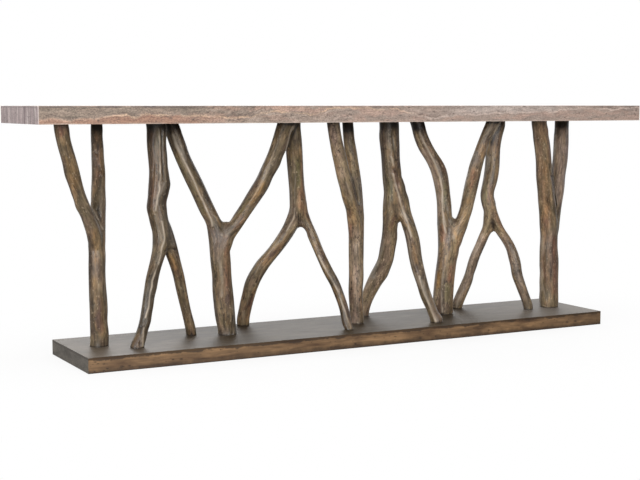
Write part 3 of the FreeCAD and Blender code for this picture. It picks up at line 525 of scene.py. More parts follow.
class Nodes:
    """A shader tree, built by short calls that return sockets."""

    def __init__(self, tree):
        self.tree = tree

    def put(self, socket, value):
        if isinstance(value, bpy.types.NodeSocket):
            self.tree.links.new(value, socket)
        else:
            socket.default_value = value

    def add(self, kind, inputs=None, **settings):
        node = self.tree.nodes.new(kind)
        for key, value in settings.items():
            setattr(node, key, value)
        for key, value in (inputs or {}).items():
            self.put(node.inputs[key], value)
        return node

    def math(self, operation, first, second=0.0):
        return self.add("ShaderNodeMath", {0: first, 1: second}, operation=operation).outputs[0]

    def plus(self, first, second):
        return self.math("ADD", first, second)

    def minus(self, first, second):
        return self.math("SUBTRACT", first, second)

    def times(self, product, *others):
        for other in others:
            product = self.math("MULTIPLY", product, other)
        return product

    def absolute(self, value):
        return self.math("ABSOLUTE", value)

    def within(self, value, low, high, start=0.0, end=1.0):
        """From start at low to end at high, smooth between. Low may be the larger of the two."""
        inputs = {"Value": value, "From Min": low, "From Max": high, "To Min": start, "To Max": end}
        return self.add("ShaderNodeMapRange", inputs, interpolation_type="SMOOTHSTEP").outputs["Result"]

    def rim(self, value, edge, side, band):
        """1 along an edge and 0 beyond the band, which says where the change begins and ends."""
        return self.within(value, *(edge + side * way for way in band))

    def vector(self, operation, first, second=(0, 0, 0), output="Value"):
        return self.add("ShaderNodeVectorMath", {0: first, 1: second}, operation=operation).outputs[output]

    def scaled(self, vector, scale):
        return self.vector("MULTIPLY", vector, scale, "Vector")

    def parts(self, vector):
        return self.add("ShaderNodeSeparateXYZ", {0: vector}).outputs[:3]


class Graph(Nodes):
    """A material's shader tree."""

    def __init__(self, name):
        self.material = bpy.data.materials.new(name)
        self.material.use_nodes = True
        super().__init__(self.material.node_tree)
        self.shader = self.tree.nodes["Principled BSDF"]

    def place(self):
        return self.add("ShaderNodeTexCoord").outputs["Object"]

    def attribute(self, name, output="Fac"):
        return self.add("ShaderNodeAttribute", attribute_name=name).outputs[output]

    def noise(self, vector, scale, detail=3.0, roughness=0.6, distortion=0.0):
        inputs = {
            "Vector": self.scaled(vector, scale), "Scale": 1.0, "Detail": detail, "Roughness": roughness,
            "Distortion": distortion,
        }
        return self.add("ShaderNodeTexNoise", inputs).outputs["Fac"]

    def wander(self, vector, scale, detail=4, roughness=0.65):
        """A noise around 0."""
        return self.minus(self.noise(vector, scale, detail, roughness), 0.5)

    def ramp(self, factor, *stops):
        """A stop is a place from 0 to 1, with a colour from 0 to 255 or with a grey level."""
        node = self.add("ShaderNodeValToRGB", {"Fac": factor})
        elements = node.color_ramp.elements
        while len(elements) < len(stops):
            elements.new(0.5)
        for element, (place, *colour) in zip(elements, stops):
            element.position = place
            element.color = linear(*colour) if len(colour) == 3 else grey(*colour)
        return node.outputs["Color"]

    def curve(self, factor, points):
        """A height from 0 to 1 at each place from 0 to 1, on a line through the points."""
        node = self.add("ShaderNodeFloatCurve", {"Value": factor})
        line = node.mapping.curves[0]
        while len(line.points) < len(points):
            line.points.new(0.5, 0.5)
        for point, place in zip(line.points, points):
            point.location = place
        node.mapping.update()
        return node.outputs["Value"]

    def mix(self, factor, first, second, blend="MIX"):
        node = self.add("ShaderNodeMix", {0: factor}, data_type="RGBA", blend_type=blend)
        for name, value in (("A", first), ("B", second)):
            self.put(next(s for s in node.inputs if s.name == name and s.type == "RGBA"), value)
        return next(s for s in node.outputs if s.type == "RGBA")

    def tint(self, base, colour, *shares):
        """The base with a colour over it, by the product of the shares."""
        return self.mix(self.times(*shares), base, linear(*colour))

    def shade(self, base, share, factor, reach, dark, light, middle=1.0):
        """The base multiplied by grey levels: dark at the reach below 0.5, and light at the reach above."""
        stops = (0.5 - reach, dark), (0.5, middle), (0.5 + reach, light)
        return self.mix(share, base, self.ramp(factor, *stops), "MULTIPLY")

    def bump(self, height, distance, strength, *below):
        inputs = {"Height": height, "Distance": distance, "Strength": strength}
        inputs.update(("Normal", normal) for normal in below)
        return self.add("ShaderNodeBump", inputs).outputs["Normal"]

    def finish(self, colour, roughness, normal, specular=0.5, **others):
        main = {"Base Color": colour, "Roughness": roughness, "Normal": normal}
        for name, value in (*main.items(), ("Specular IOR Level", specular), *others.items()):
            self.put(self.shader.inputs[name], value)
        return self.material


def limb_patches(g, grain):
    """Brown wood with large soft patches and the marks' tints, of which the dark one is painted shade."""
    base = g.ramp(
        g.noise(grain, (17, 17, 5), 3, 0.6, 0.4),
        (0.30, 80, 64, 52), (0.42, 104, 87, 70), (0.50, 106, 92, 70), (0.58, 120, 98, 72), (0.70, 98, 74, 60),
    )
    for name, colour in TINTS.items():
        base = g.tint(base, colour, g.attribute(name), TINT_SHARE)
    return base


def limb_wood():
    """Peeled and stained branch wood: brown with olive, golden and reddish patches, pale ridges that are
    partly wear and partly painted highlight, and painted shade in hollows and at the ends.
    """
    g = Graph("limb_wood")
    grain = g.attribute("grain", "Vector")
    base = limb_patches(g, grain)
    streaks = g.noise(grain, (80, 80, 9), 4)
    blotches = g.noise(grain, (36, 36, 13), 3, 0.6, 0.3)
    fibres = g.noise(grain, (170, 170, 34), 4, 0.68)
    base = g.shade(base, 0.85, streaks, 0.18, 0.46, 1.42, 0.98)
    base = g.shade(base, 0.9, blotches, 0.16, 0.62, 1.34)
    base = g.shade(base, 0.9, fibres, 0.18, 0.52, 1.42)
    pale_flecks = g.noise(g.scaled(grain, (1, -1, 1)), (190, 190, 90), 2, 0.5)
    base = g.tint(base, (176, 156, 130), g.ramp(pale_flecks, (0.62, 0.0), (0.70, 0.5)))
    flecks = g.ramp(g.noise(grain, (150, 150, 70), 3, 0.65), (0.57, 0.0), (0.65, 0.85))
    base = g.tint(base, (42, 33, 28), flecks, g.attribute("fleck"))
    # Lightness per point, which also holds painted light and shade: lighter and darker spots, and painted
    # shadow over the feet.
    base = g.scaled(base, g.attribute("tone_and_shade", "Vector"))
    # The pale colour: wear on the facets, and painted highlight along ridges and rims.
    base = g.tint(base, (184, 168, 148), g.ramp(g.attribute("wear_and_highlight"), (0.15, 0.0), (0.95, 0.85)))
    # The dark colour: painted shade in hollows, grooves and crotches, with stain gathered in hollows, and
    # painted shadow at the feet and under the slab.
    base = g.tint(base, (26, 20, 17), g.ramp(g.attribute("stain_and_shade"), (0.12, 0.0), (0.9, 0.88)))
    normal = g.bump(fibres, 0.0012, 0.6, g.bump(streaks, 0.0016, 0.6))
    g.put(g.shader.inputs["Coat Normal"], normal)
    return g.finish(base, g.ramp(streaks, (0.3, 0.54), (0.7, 0.42)), normal, 0.25, **LIMB_GLOSS)


def stone_specks(g, place, base, depth):
    """Fine pits and crystals over a stone's colour, and the roughness and normal that go with them."""
    specks = g.noise(place, (150, 150, 240), 4, 0.75)
    base = g.shade(base, depth, specks, 0.16, 0.42, 1.46)
    pits = g.noise(place, (50, 60, 130))
    base = g.tint(base, (88, 74, 68), g.ramp(pits, (0.60, 0.0), (0.70, 0.75)))
    rough = g.ramp(specks, (0.3, 0.62), (0.7, 0.46))
    return base, rough, g.bump(pits, 0.0012, -0.5, g.bump(specks, 0.0008, 0.5))


def follow_vein(g, place, low, high):
    """How far along the slab, how far over its vein, in which part of it, and a place that follows it."""
    along, across, up = g.parts(place)
    thickness = high[2] - low[2]
    share = g.math("DIVIDE", g.minus(along, low[0]), high[0] - low[0])
    height = g.math("DIVIDE", g.minus(up, low[2]), thickness)
    height = g.plus(height, g.times(g.wander(place, (24, 24, 24)), VEIN_WANDER))
    left = g.minus(height, g.curve(share, LEFT_VEIN_SHARES))
    right = g.minus(height, g.curve(share, RIGHT_VEIN_SHARES))
    turn = g.within(share, *VEIN_TURN)
    over = g.plus(g.times(left, g.minus(1.0, turn)), g.times(right, turn))
    flow = g.add("ShaderNodeCombineXYZ", {0: along, 1: across, 2: g.times(over, thickness)}).outputs[0]
    return share, over, turn, flow


def slab_ground(g, share, over, flow):
    """Pink stone on one side of the vein and grey on the other, tinted along the slab."""
    middle = g.times(*(g.within(share, *span) for span in GREY_MIDDLE))
    grey_side = g.times(g.absolute(g.minus(g.within(over, *GREY_RISE), middle)), GREY_SHARE)
    patches = g.within(g.noise(flow, (9, 9, 50), 3, 0.6, 0.4), *GREY_PATCHES)
    grey_side = g.plus(grey_side, g.times(patches, g.within(share, *GREY_PATCH_SPAN)))
    pink_stone = g.ramp(
        g.noise(flow, (5, 5, 120), 5, 0.65, 0.4),
        (0.30, 140, 112, 98), (0.44, 168, 137, 121), (0.54, 184, 152, 133), (0.70, 162, 137, 128),
    )
    grey_stone = g.ramp(
        g.noise(flow, (18, 18, 70), 4, 0.65, 0.4),
        (0.30, 104, 90, 80), (0.46, 142, 125, 112), (0.58, 166, 147, 133), (0.72, 188, 171, 158),
    )
    base = g.mix(grey_side, pink_stone, grey_stone)
    for colour, strength, spans, rises in SLAB_TINTS.values():
        windows = [g.within(share, *span) for span in spans] + [g.within(over, *rise) for rise in rises]
        base = g.tint(base, colour, *windows, strength)
    return base


def slab_vein(g, base, share, over, turn, flow):
    """The broken pale vein with a darker line over it."""
    broken = g.ramp(g.noise(flow, (14, 14, 60)), (0.36, 0.1), (0.6, 0.8))
    line = g.times(g.within(g.absolute(over), VEIN_WIDTH, 0.0), g.plus(broken, g.times(turn, 0.2)))
    left = g.mix(g.within(share, *VEIN_PALER), linear(196, 158, 134), linear(214, 182, 152))
    base = g.mix(line, base, g.mix(turn, left, linear(204, 184, 172)))
    shade = g.within(g.absolute(g.minus(over, VEIN_SHADE_RISE)), VEIN_SHADE_WIDTH, 0.0)
    return g.tint(base, (116, 96, 86), shade, broken, 0.5)


def slab_texture(g, base, place, share, over, flow):
    """Mottling and thin threads over the slab's front."""
    mottle = g.noise(place, (30, 30, 75), 3, 0.6, 0.3)
    mottled = g.within(over, *MOTTLE_SPAN)
    base = g.shade(base, mottled, mottle, 0.16, 0.76, 1.22)
    threads = g.noise(flow, (10, 10, 260), 4, 0.6, 0.3)
    threaded = g.within(share, *THREAD_SPAN)
    return g.shade(base, threaded, threads, 0.18, 0.62, 1.24)


def corner_highlight(g, base, value, edge):
    """A painted highlight: the pale line at the slab's eased front left corner, from either side of it."""
    return g.tint(base, (196, 182, 180), g.rim(value, edge, 1, SLAB_CORNER_HIGHLIGHT), 0.7)


def slab_lines(g, base, place, share, low, high):
    """A dark line along the slab's upper edge, a pale one along the lower, and a painted highlight at the
    left corner.
    """
    along, _, up = g.parts(place)
    broken = g.ramp(g.noise(place, (12, 12, 12)), (0.38, 0.2), (0.58, 1.0))
    arris = g.rim(up, high[2], -1, SLAB_ARRIS)
    base = g.tint(base, (80, 69, 68), arris, g.within(share, *ARRIS_SPAN), broken)
    foot = g.rim(up, low[2], 1, SLAB_FOOT)
    base = g.tint(base, (202, 186, 172), foot, broken, 0.5)
    return corner_highlight(g, base, along, low[0])


def slab_stone_long():
    """The slab's long edges: grey and pink travertine whose bands follow a pale vein up to the right."""
    g = Graph("slab_stone_long")
    low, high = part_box("top_front_edge")
    place = g.place()
    share, over, turn, flow = follow_vein(g, place, low, high)
    base = slab_ground(g, share, over, flow)
    base = slab_vein(g, base, share, over, turn, flow)
    base = slab_texture(g, base, place, share, over, flow)
    base, rough, normal = stone_specks(g, place, base, g.within(share, *SPECK_SPAN))
    return g.finish(slab_lines(g, base, place, share, low, high), rough, normal)


def slab_stone_end():
    """The slab's ends: cool grey stone with upright bands of uneven width, and a painted highlight at the
    front corner.
    """
    g = Graph("slab_stone_end")
    low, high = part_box("top_left_edge")
    place = g.place()
    _, across, up = g.parts(place)
    base = g.ramp(
        g.noise(place, (26, 26, 3), 4, 0.6, 0.3),
        (0.32, 140, 124, 124), (0.44, 174, 156, 155), (0.54, 192, 175, 172), (0.66, 210, 198, 195),
    )
    threads = g.noise(place, (120, 120, 9), 4, 0.65)
    base = g.shade(base, 0.85, threads, 0.16, 0.52, 1.3)
    base, rough, normal = stone_specks(g, place, base, 0.4)
    base = g.tint(base, (104, 94, 94), g.rim(up, high[2], -1, SLAB_END_ARRIS), 0.55)
    return g.finish(corner_highlight(g, base, across, low[1]), rough, normal)


def slab_stone_top():
    """The slab's face: long soft bands of grey, pink and cream stone."""
    g = Graph("slab_stone_top")
    place = g.place()
    base = g.ramp(
        g.noise(place, (2.2, 13, 13), 5, 0.62, 0.9), (0.28, 140, 124, 114), (0.42, 170, 152, 140),
        (0.50, 184, 152, 134), (0.58, 178, 160, 148), (0.72, 198, 180, 164),
    )
    veins = g.noise(place, (5, 70, 70), 5, 0.68, 0.6)
    base = g.shade(base, 0.55, veins, 0.18, 0.66, 1.18)
    return g.finish(*stone_specks(g, place, base, 0.5))


def veneer_patches(g, place, dark, middle, light):
    """The veneer's own colour, in long patches."""
    patches = g.noise(place, (6, 14, 34), 3, 0.6, 0.5)
    return g.ramp(patches, (0.32, *dark), (0.5, *middle), (0.68, *light))


def plinth_veneer(name, colours, roughness=0.45):
    """Brown veneer with its grain along X and sparse dark specks: its tree, and the sockets to finish it."""
    g = Graph(name)
    place = g.place()
    grain = g.noise(place, (8, 150, 210), 5, 0.65, 0.3)
    base = veneer_patches(g, place, *colours)
    base = g.shade(base, 0.75, grain, 0.2, 0.58, 1.25)
    specks = g.noise(place, (70, 120, 160), 2, 0.5)
    base = g.tint(base, (38, 28, 22), g.ramp(specks, (0.66, 0.0), (0.73, 0.75)))
    rough = g.ramp(grain, (0.3, roughness + 0.06), (0.7, roughness - 0.04))
    return g, place, base, rough, g.bump(grain, 0.0006, 0.4)


def worn_arris(g, place, base):
    """The plinth's front: darker to a wavering line below its top and above its foot, with its knots."""
    low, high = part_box("base_front_board")
    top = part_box("base_deck")[1][2]
    along, _, up = g.parts(place)
    wander = g.times(g.wander(place, (22, 22, 9)), BOARD_WANDER)
    drop = g.within(along, low[0] + HEAD_DROP_REACH, low[0], 0.0, HEAD_DROP)
    depth = g.minus(g.plus(g.minus(top, up), wander), drop)
    base = g.tint(base, (54, 43, 34), g.within(depth, *BOARD_HEAD), 0.8)
    base = g.tint(base, (54, 41, 31), g.within(g.plus(up, wander), *BOARD_FOOT), 0.8)
    base = g.tint(base, (46, 36, 29), g.within(up, *BOARD_SOLE))
    ragged = g.absolute(g.wander(place, (110, 110, 160), 2, 0.6))
    flat = g.scaled(place, (KNOT_SQUEEZE, 0, 1))
    for share, rise, radius in KNOT_SHARES:
        middle = ((low[0] + (high[0] - low[0]) * share) * KNOT_SQUEEZE, 0, top * rise)
        aside = g.plus(g.vector("DISTANCE", flat, middle), g.times(ragged, radius * KNOT_RAGGED))
        base = g.tint(base, (40, 30, 24), g.within(aside, radius, 0.0), 0.85)
    return g.tint(base, (66, 54, 42), g.rim(along, high[0], -1, RIGHT_END), 0.35)


def board_veneer():
    """The plinth's long boards, golden brown with darker patches and darker edges."""
    g, place, base, rough, normal = plinth_veneer("board_veneer", BOARD_COLOURS)
    return g.finish(worn_arris(g, place, base), rough, normal, 0.4)


def end_veneer():
    """The plinth's end boards, which are greyer."""
    g, _, base, rough, normal = plinth_veneer("end_veneer", ((80, 74, 67), (98, 92, 84), (112, 105, 96)))
    return g.finish(base, rough, normal)


def deck_veneer():
    """The plinth's deck: dark taupe veneer with a sheen, painted shade over its middle and a painted sheen at
    its ends, and sides like the boards below them.
    """
    colours = ((60, 50, 40), (82, 71, 58), (100, 88, 74))
    g, place, base, rough, normal = plinth_veneer("deck_veneer", colours, 0.46)
    right, back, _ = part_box("base_deck")[1]
    along, across, _ = g.parts(place)
    inner = g.within(g.absolute(along), *DECK_SHADED_MIDDLE)
    rough = g.plus(rough, g.times(inner, 0.045))
    # Painted shade over the deck's middle, below the slab and among the legs.
    base = g.tint(base, (62, 50, 28), inner, 0.5)
    # A painted sheen at both ends of the deck, lighter at the right.
    base = g.tint(base, (138, 131, 124), g.within(along, DECK_RIGHT_SHEEN, right), 0.8)
    base = g.tint(base, (120, 108, 94), g.within(along, DECK_LEFT_SHEEN, -right), 0.5)
    edge = g.plus(g.absolute(across), g.times(g.noise(place, (16, 16, 16)), DECK_EDGE_WANDER))
    base = g.tint(base, (58, 48, 40), g.rim(edge, back, 1, DECK_EDGE), 0.8)
    facing = g.parts(g.add("ShaderNodeNewGeometry").outputs["Normal"])
    board = worn_arris(g, place, veneer_patches(g, place, *BOARD_COLOURS))
    base = g.mix(g.within(g.absolute(facing[1]), *SIDE_FACING), base, board)
    base = g.tint(base, (92, 86, 79), g.within(g.absolute(facing[0]), *SIDE_FACING))
    return g.finish(base, rough, normal, 0.22)


def inner_wood():
    """Plain pale wood of the hidden frames."""
    g = Graph("inner_wood")
    grain = g.noise(g.place(), (12, 120, 120), 4, 0.6, 0.3)
    base = g.ramp(grain, (0.3, 150, 122, 88), (0.5, 186, 156, 116), (0.7, 206, 178, 138))
    return g.finish(base, 0.7, g.bump(grain, 0.0005, 0.5))


def zinc_steel():
    """Bright plated steel with fine scratches."""
    g = Graph("zinc_steel")
    scratches = g.noise(g.place(), (400, 400, 1400))
    base = g.ramp(scratches, (0.3, 168, 168, 166), (0.7, 206, 206, 200))
    rough = g.ramp(scratches, (0.3, 0.42), (0.7, 0.28))
    return g.finish(base, rough, g.bump(scratches, 0.0002, 0.4), Metallic=1.0)


def paint(material, *names):
    """Gives CAD nodes the material in place of their own."""
    for name in names:
        slots = nodes[name].data.materials
        slots.clear()
        slots.append(material)


def solid_copy(node):
    """The node's solid with vertices joined and stud holes closed, and its lowest and highest level."""
    bm = bmesh.new()
    bm.from_mesh(node.data)
    bmesh.ops.remove_doubles(bm, verts=bm.verts, dist=WELD)
    low = min(v.co.z for v in bm.verts)
    high = max(v.co.z for v in bm.verts)
    for level, inward in ((low, 1), (high, -1)):
        close_holes(bm, level, inward)
    bmesh.ops.triangulate(bm, faces=bm.faces)
    return bm, low, high


def end_groups(bm, level):
    """The vertices on an end plane, as one group per limb end."""
    left = {v for v in bm.verts if abs(v.co.z - level) < ON_PLANE}
    groups = []
    while left:
        group = {left.pop()}
        border = set(group)
        while border:
            reached = {e.other_vert(v) for v in border for e in v.link_edges} & left
            left -= reached
            group |= reached
            border = reached
        groups.append(group)
    return groups


def close_holes(bm, level, inward):
    """Takes the wall of each stud hole away and closes its mouth."""
    for group in end_groups(bm, level):
        centre = sum((v.co for v in group), Vector()) / len(group)
        reaches = [(v.co - centre).length for v in group]
        if min(reaches) < STUD_REACH < max(reaches):
            axis = stud_axis(group, centre)
            wall = [v for v in bm.verts if in_stud_hole(v.co, axis, level, inward)]
            bmesh.ops.delete(bm, geom=wall, context="VERTS")
    bmesh.ops.holes_fill(bm, edges=[e for e in bm.edges if e.is_boundary], sides=0)


def stud_axis(group, centre):
    """The middle of the hole's mouth: the mean of the vertices close to the end's own middle."""
    mouth = [v.co for v in group if (v.co - centre).length < 2 * STUD_REACH]
    return sum(mouth, Vector()) / len(mouth)


def in_stud_hole(point, axis, level, inward):
    """Whether a point lies on the hole's wall or bottom."""
    depth = (point.z - level) * inward
    aside = math.hypot(point.x - axis.x, point.y - axis.y)
    return ON_PLANE < depth < STUD_DEPTH and aside < STUD_REACH


def level_loops(bm, level):
    """The loops in which a level plane cuts the solid, as (centre, length)."""
    points = {}
    for e in bm.edges:
        a, b = e.verts[0].co, e.verts[1].co
        if (a.z - level) * (b.z - level) < 0:
            points[e] = a.lerp(b, (level - a.z) / (b.z - a.z))
    parent = {e: e for e in points}

    def root(e):
        while parent[e] is not e:
            e = parent[e]
        return e

    segments = []
    for face in {f for e in points for f in e.link_faces}:
        cut = [e for e in face.edges if e in points]
        if len(cut) == 2:
            segments.append(cut)
            parent[root(cut[0])] = root(cut[1])
    loops = {}
    for first, second in segments:
        loops.setdefault(root(first), []).append((points[first], points[second]))
    return [mean_of(pairs) for pairs in loops.values()]


def mean_of(pairs):
    """The middle of a loop of segments, each counted by its length, and the loop's length."""
    lengths = [(b - a).length for a, b in pairs]
    total = sum(lengths)
    return sum(((a + b) / 2 * n for (a, b), n in zip(pairs, lengths)), Vector()) / total, total


def smooth_line(values, rounds):
    """Each inner value of a list drawn to the mean of its neighbours, some rounds over."""
    line = np.array(values, float)
    for _ in range(rounds):
        line[1:-1] = (line[:-2] + 2 * line[1:-1] + line[2:]) / 4
    return line


def limb_tracks(bm, low, high):
    """Levels, two centrelines with their lengths, and the crotch's level. A stem has both lines in it."""
    count = int((high - low) / LEVEL_STEP)
    levels = [low + (high - low) * (k + 0.5) / count for k in range(count)]
    rows = []
    for level in levels:
        middles = [middle for middle, length in level_loops(bm, level) if length > SMALL_LOOP]
        rows.append(sorted(middles, key=lambda middle: middle.x))
    split = [k for k, row in enumerate(rows) if len(row) > 1]
    forks_upward = split[-1] >= count - TOP_LEVELS
    crotch = levels[split[0] if forks_upward else split[-1]]
    lines = []
    for side in (0, -1):
        line = smooth_line([row[side][:2] for row in rows], TRACK_ROUNDS)
        steps = np.hypot(*np.diff(line, axis=0).T)
        length = np.concatenate([[0], np.cumsum(np.sqrt(steps ** 2 + np.diff(levels) ** 2))])
        lines.append((line, length))
    return np.array(levels), lines, crotch


class Skin:
    """A mesh's points as an array, with means over each point's neighbours."""

    def __init__(self, mesh):
        self.mesh = mesh
        self.count = len(mesh.vertices)
        self.points = self.read(mesh.vertices, "co")
        edges = np.empty(len(mesh.edges) * 2, np.int64)
        mesh.edges.foreach_get("vertices", edges)
        self.first, self.second = edges.reshape(-1, 2).T
        self.degree = np.bincount(edges, minlength=self.count)

    def read(self, source, field):
        values = np.empty(self.count * 3)
        source.foreach_get(field, values)
        return values.reshape(-1, 3)

    def normals(self):
        return self.read(self.mesh.vertex_normals, "vector")

    def store(self):
        self.mesh.vertices.foreach_set("co", self.points.ravel())
        self.mesh.update()

    def mean(self, values):
        """Each point's mean over its neighbours."""
        total = np.bincount(self.first, values[self.second], self.count)
        total += np.bincount(self.second, values[self.first], self.count)
        return total / self.degree

    def step(self):
        """The way from each point to its neighbours' mean."""
        return np.column_stack([self.mean(self.points[:, axis]) for axis in range(3)]) - self.points

    def smooth(self, weight, rounds):
        """Draws the points towards their neighbours' mean, each by its own weight."""
        for _ in range(rounds):
            self.points += weight[:, None] * self.step() / 2
        self.store()

    def fill(self, rounds):
        """Fills hollows: points that lie below their neighbours' mean move out to it, the others stay."""
        normals = self.normals()
        for _ in range(rounds):
            step = self.step()
            sunk = (step * normals).sum(1) > 0
            self.points += np.where(sunk, 0.5, 0.0)[:, None] * step
        self.store()

    def hollows(self, normals):
        """How deep each point lies in a hollow, from 0 to 1."""
        depth = (self.step() * normals).sum(1)
        for _ in range(HOLLOW_ROUNDS):
            depth = (depth + self.mean(depth)) / 2
        return np.clip(depth / FULL_HOLLOW, 0, 1)

    def keep(self, name, values):
        """Stores a value or a vector per point for the material."""
        kind, field = ("FLOAT_VECTOR", "vector") if values.ndim > 1 else ("FLOAT", "value")
        layer = self.mesh.attributes.new(name, kind, "POINT")
        layer.data.foreach_set(field, values.astype(np.float32).ravel())


def place_in_scene(name, data):
    """A new object in the scene with that mesh, light or camera."""
    made = bpy.data.objects.new(name, data)
    bpy.context.scene.collection.objects.link(made)
    return made


def mesh_from(bm, name):
    """The edited shape as a mesh of its own."""
    mesh = bpy.data.meshes.new(name)
    bm.to_mesh(mesh)
    bm.free()
    return mesh


def remeshed(bm, name):
    """The closed solid as an even mesh of small quads."""
    piece = place_in_scene(name, mesh_from(bm, name))
    remesh = piece.modifiers.new("even", "REMESH")
    remesh.mode = "VOXEL"
    remesh.voxel_size = VOXEL
    graph = bpy.context.evaluated_depsgraph_get()
    piece.data = bpy.data.meshes.new_from_object(piece.evaluated_get(graph))
    piece.modifiers.clear()
    return piece


def draw_out_ends(bm, low, high):
    """Moves the end faces beyond the deck and the slab, so that they can be cut off clean."""
    for level, outward in ((low, -1), (high, 1)):
        for v in bm.verts:
            if abs(v.co.z - level) < ON_PLANE:
                v.co.z += outward * END_REACH


def fit_to_limbs(points, levels, lines, crotch):
    """For each point, where it lies across and along the limb that it is nearest to."""
    z = points[:, 2]
    places, asides = [], []
    for line, length in lines:
        x, y = (points[:, axis] - np.interp(z, levels, line[:, axis]) for axis in (0, 1))
        along = np.interp(z, levels, length) - np.interp(crotch, levels, length)
        places.append(np.column_stack([x, y, along]))
        asides.append(np.hypot(x, y))
    share = np.clip((asides[1] - asides[0]) / LIMB_BLEND / 2 + 0.5, 0, 1)
    share = (share * share * (3 - 2 * share))[:, None]
    return share * places[0] + (1 - share) * places[1]


def noise_at(places, wave, offset):
    """Noise around 0 at each place, with the wave's spacings."""
    across, along, apart = wave
    scaled = places / (across, across, along) + (offset + apart)
    return np.array([noise.noise(Vector(p)) for p in scaled])


def bell(distance, reach=1.0):
    """1 where the distance is 0, falling smoothly to almost 0 at twice the reach."""
    return np.exp(-(distance / reach) ** 2)


def camera_axes():
    """The photograph's right, ahead and up in the frame, as rows."""
    yaw, pitch = math.radians(CAMERA_YAW), math.radians(CAMERA_PITCH)
    right = np.array([math.cos(yaw), math.sin(yaw), 0])
    ahead = np.array([-math.sin(yaw) * math.cos(pitch), math.cos(yaw) * math.cos(pitch), math.sin(pitch)])
    return np.array([right, ahead, np.cross(right, ahead)])


def seen_in_photo(points):
    """Where points lie in the photograph, in pixels, and how long a pixel is there, in metres."""
    right, depth, rise = camera_axes() @ (points - np.array(CAMERA_PLACE)).T
    pixel = depth / FOCAL
    return np.column_stack([PHOTO_WIDTH / 2 + right / pixel, PHOTO_HEIGHT / 2 - rise / pixel]), pixel


def facing_camera(points, normals):
    """How far each point faces the photograph's camera, from 0 to 1."""
    ray = points - np.array(CAMERA_PLACE)
    facing = -(ray * normals).sum(1) / np.linalg.norm(ray, axis=1)
    return np.clip(facing / FACING_SHARE, 0, 1)


def add_webs(bm, number, levels, lines, crotch):
    """Joins the leg's webs in as ellipsoids at its crotch's distance from the camera."""
    middle = [np.mean([np.interp(crotch, levels, line[:, axis]) for line, _ in lines]) for axis in (0, 1)]
    _, pixel = seen_in_photo(np.array([[*middle, crotch]]))
    right, ahead, up = camera_axes()
    for (x, y), (half_width, half_height) in WEBS.get(number, ()):
        way = ahead * FOCAL + right * (x - PHOTO_WIDTH / 2) + up * (PHOTO_HEIGHT / 2 - y)
        place = Matrix.Translation(Vector(CAMERA_PLACE) + Vector(way * pixel[0]))
        axes = np.column_stack([right * half_width * pixel, ahead * WEB_THICKNESS, up * half_height * pixel])
        matrix = place @ Matrix(axes.tolist()).to_4x4()
        bmesh.ops.create_icosphere(bm, subdivisions=WEB_DIVISIONS, radius=1, matrix=matrix)


def sideways(number, points):
    """How each point moves so that the limbs' outlines meet the photograph's."""
    places, pixel = seen_in_photo(points)
    move = np.full(len(points), WOOD_SHIFT)
    for centre, step, reach in GRABS[number]:
        move += step * bell(np.linalg.norm(places - centre, axis=1), reach)
    return (move * pixel)[:, None] * camera_axes()[0]


def toned_and_shaded(number, points):
    """Each point's lightness, with the leg's lighter and darker places, which are partly painted light and
    shade.
    """
    places, _ = seen_in_photo(points)
    tone_and_shade = np.full(len(points), LEG_TONES[number])
    for centre, share, reach in TONE_LIGHT_AND_SHADE_SPOTS[number]:
        tone_and_shade *= 1 + share * bell(np.linalg.norm(places - centre, axis=1), reach)
    return tone_and_shade


def curved(line):
    """A line, given as x, y, x, y and so on, as points with smooth bends between them."""
    inner = np.reshape(line, (-1, 2)).astype(float)
    points = [inner[0], *inner, inner[-1]]
    made = []
    for before, start, end, after in zip(points, points[1:], points[2:], points[3:]):
        for share in np.arange(BEND_STEPS) / BEND_STEPS:
            lean = (end - before) * (share - 2 * share ** 2 + share ** 3) / 2
            lean += (after - start) * (share ** 3 - share ** 2) / 2
            made.append(start + (end - start) * share ** 2 * (3 - 2 * share) + lean)
    return np.array(made + [points[-1]])


def distance_to_line(places, line):
    """Each place's distance from a line of two or more points, in the same unit."""
    best = np.full(len(places), np.inf)
    for start, end in zip(line[:-1], line[1:]):
        step = end - start
        share = np.clip((places - start) @ step / (step @ step), 0, 1)
        best = np.minimum(best, np.linalg.norm(places - start - share[:, None] * step, axis=1))
    return best


def chatter_rows(number):
    """The leg's drawknife cuts, as rows like those of MARKS."""
    rows = []
    for share in np.linspace(0, 1, CHATTER_CUTS if number == CHATTER_LEG else 0):
        x, y = np.array(CHATTER_START) * (1 - share) + np.array(CHATTER_END) * share
        above, below = y - CHATTER_SLANT, y + CHATTER_SLANT
        line = (x - CHATTER_HALF, above, x, below, x + CHATTER_HALF, above)
        rows.append(("groove", CHATTER_WIDTH, CHATTER_STRENGTH, *line))
    return rows


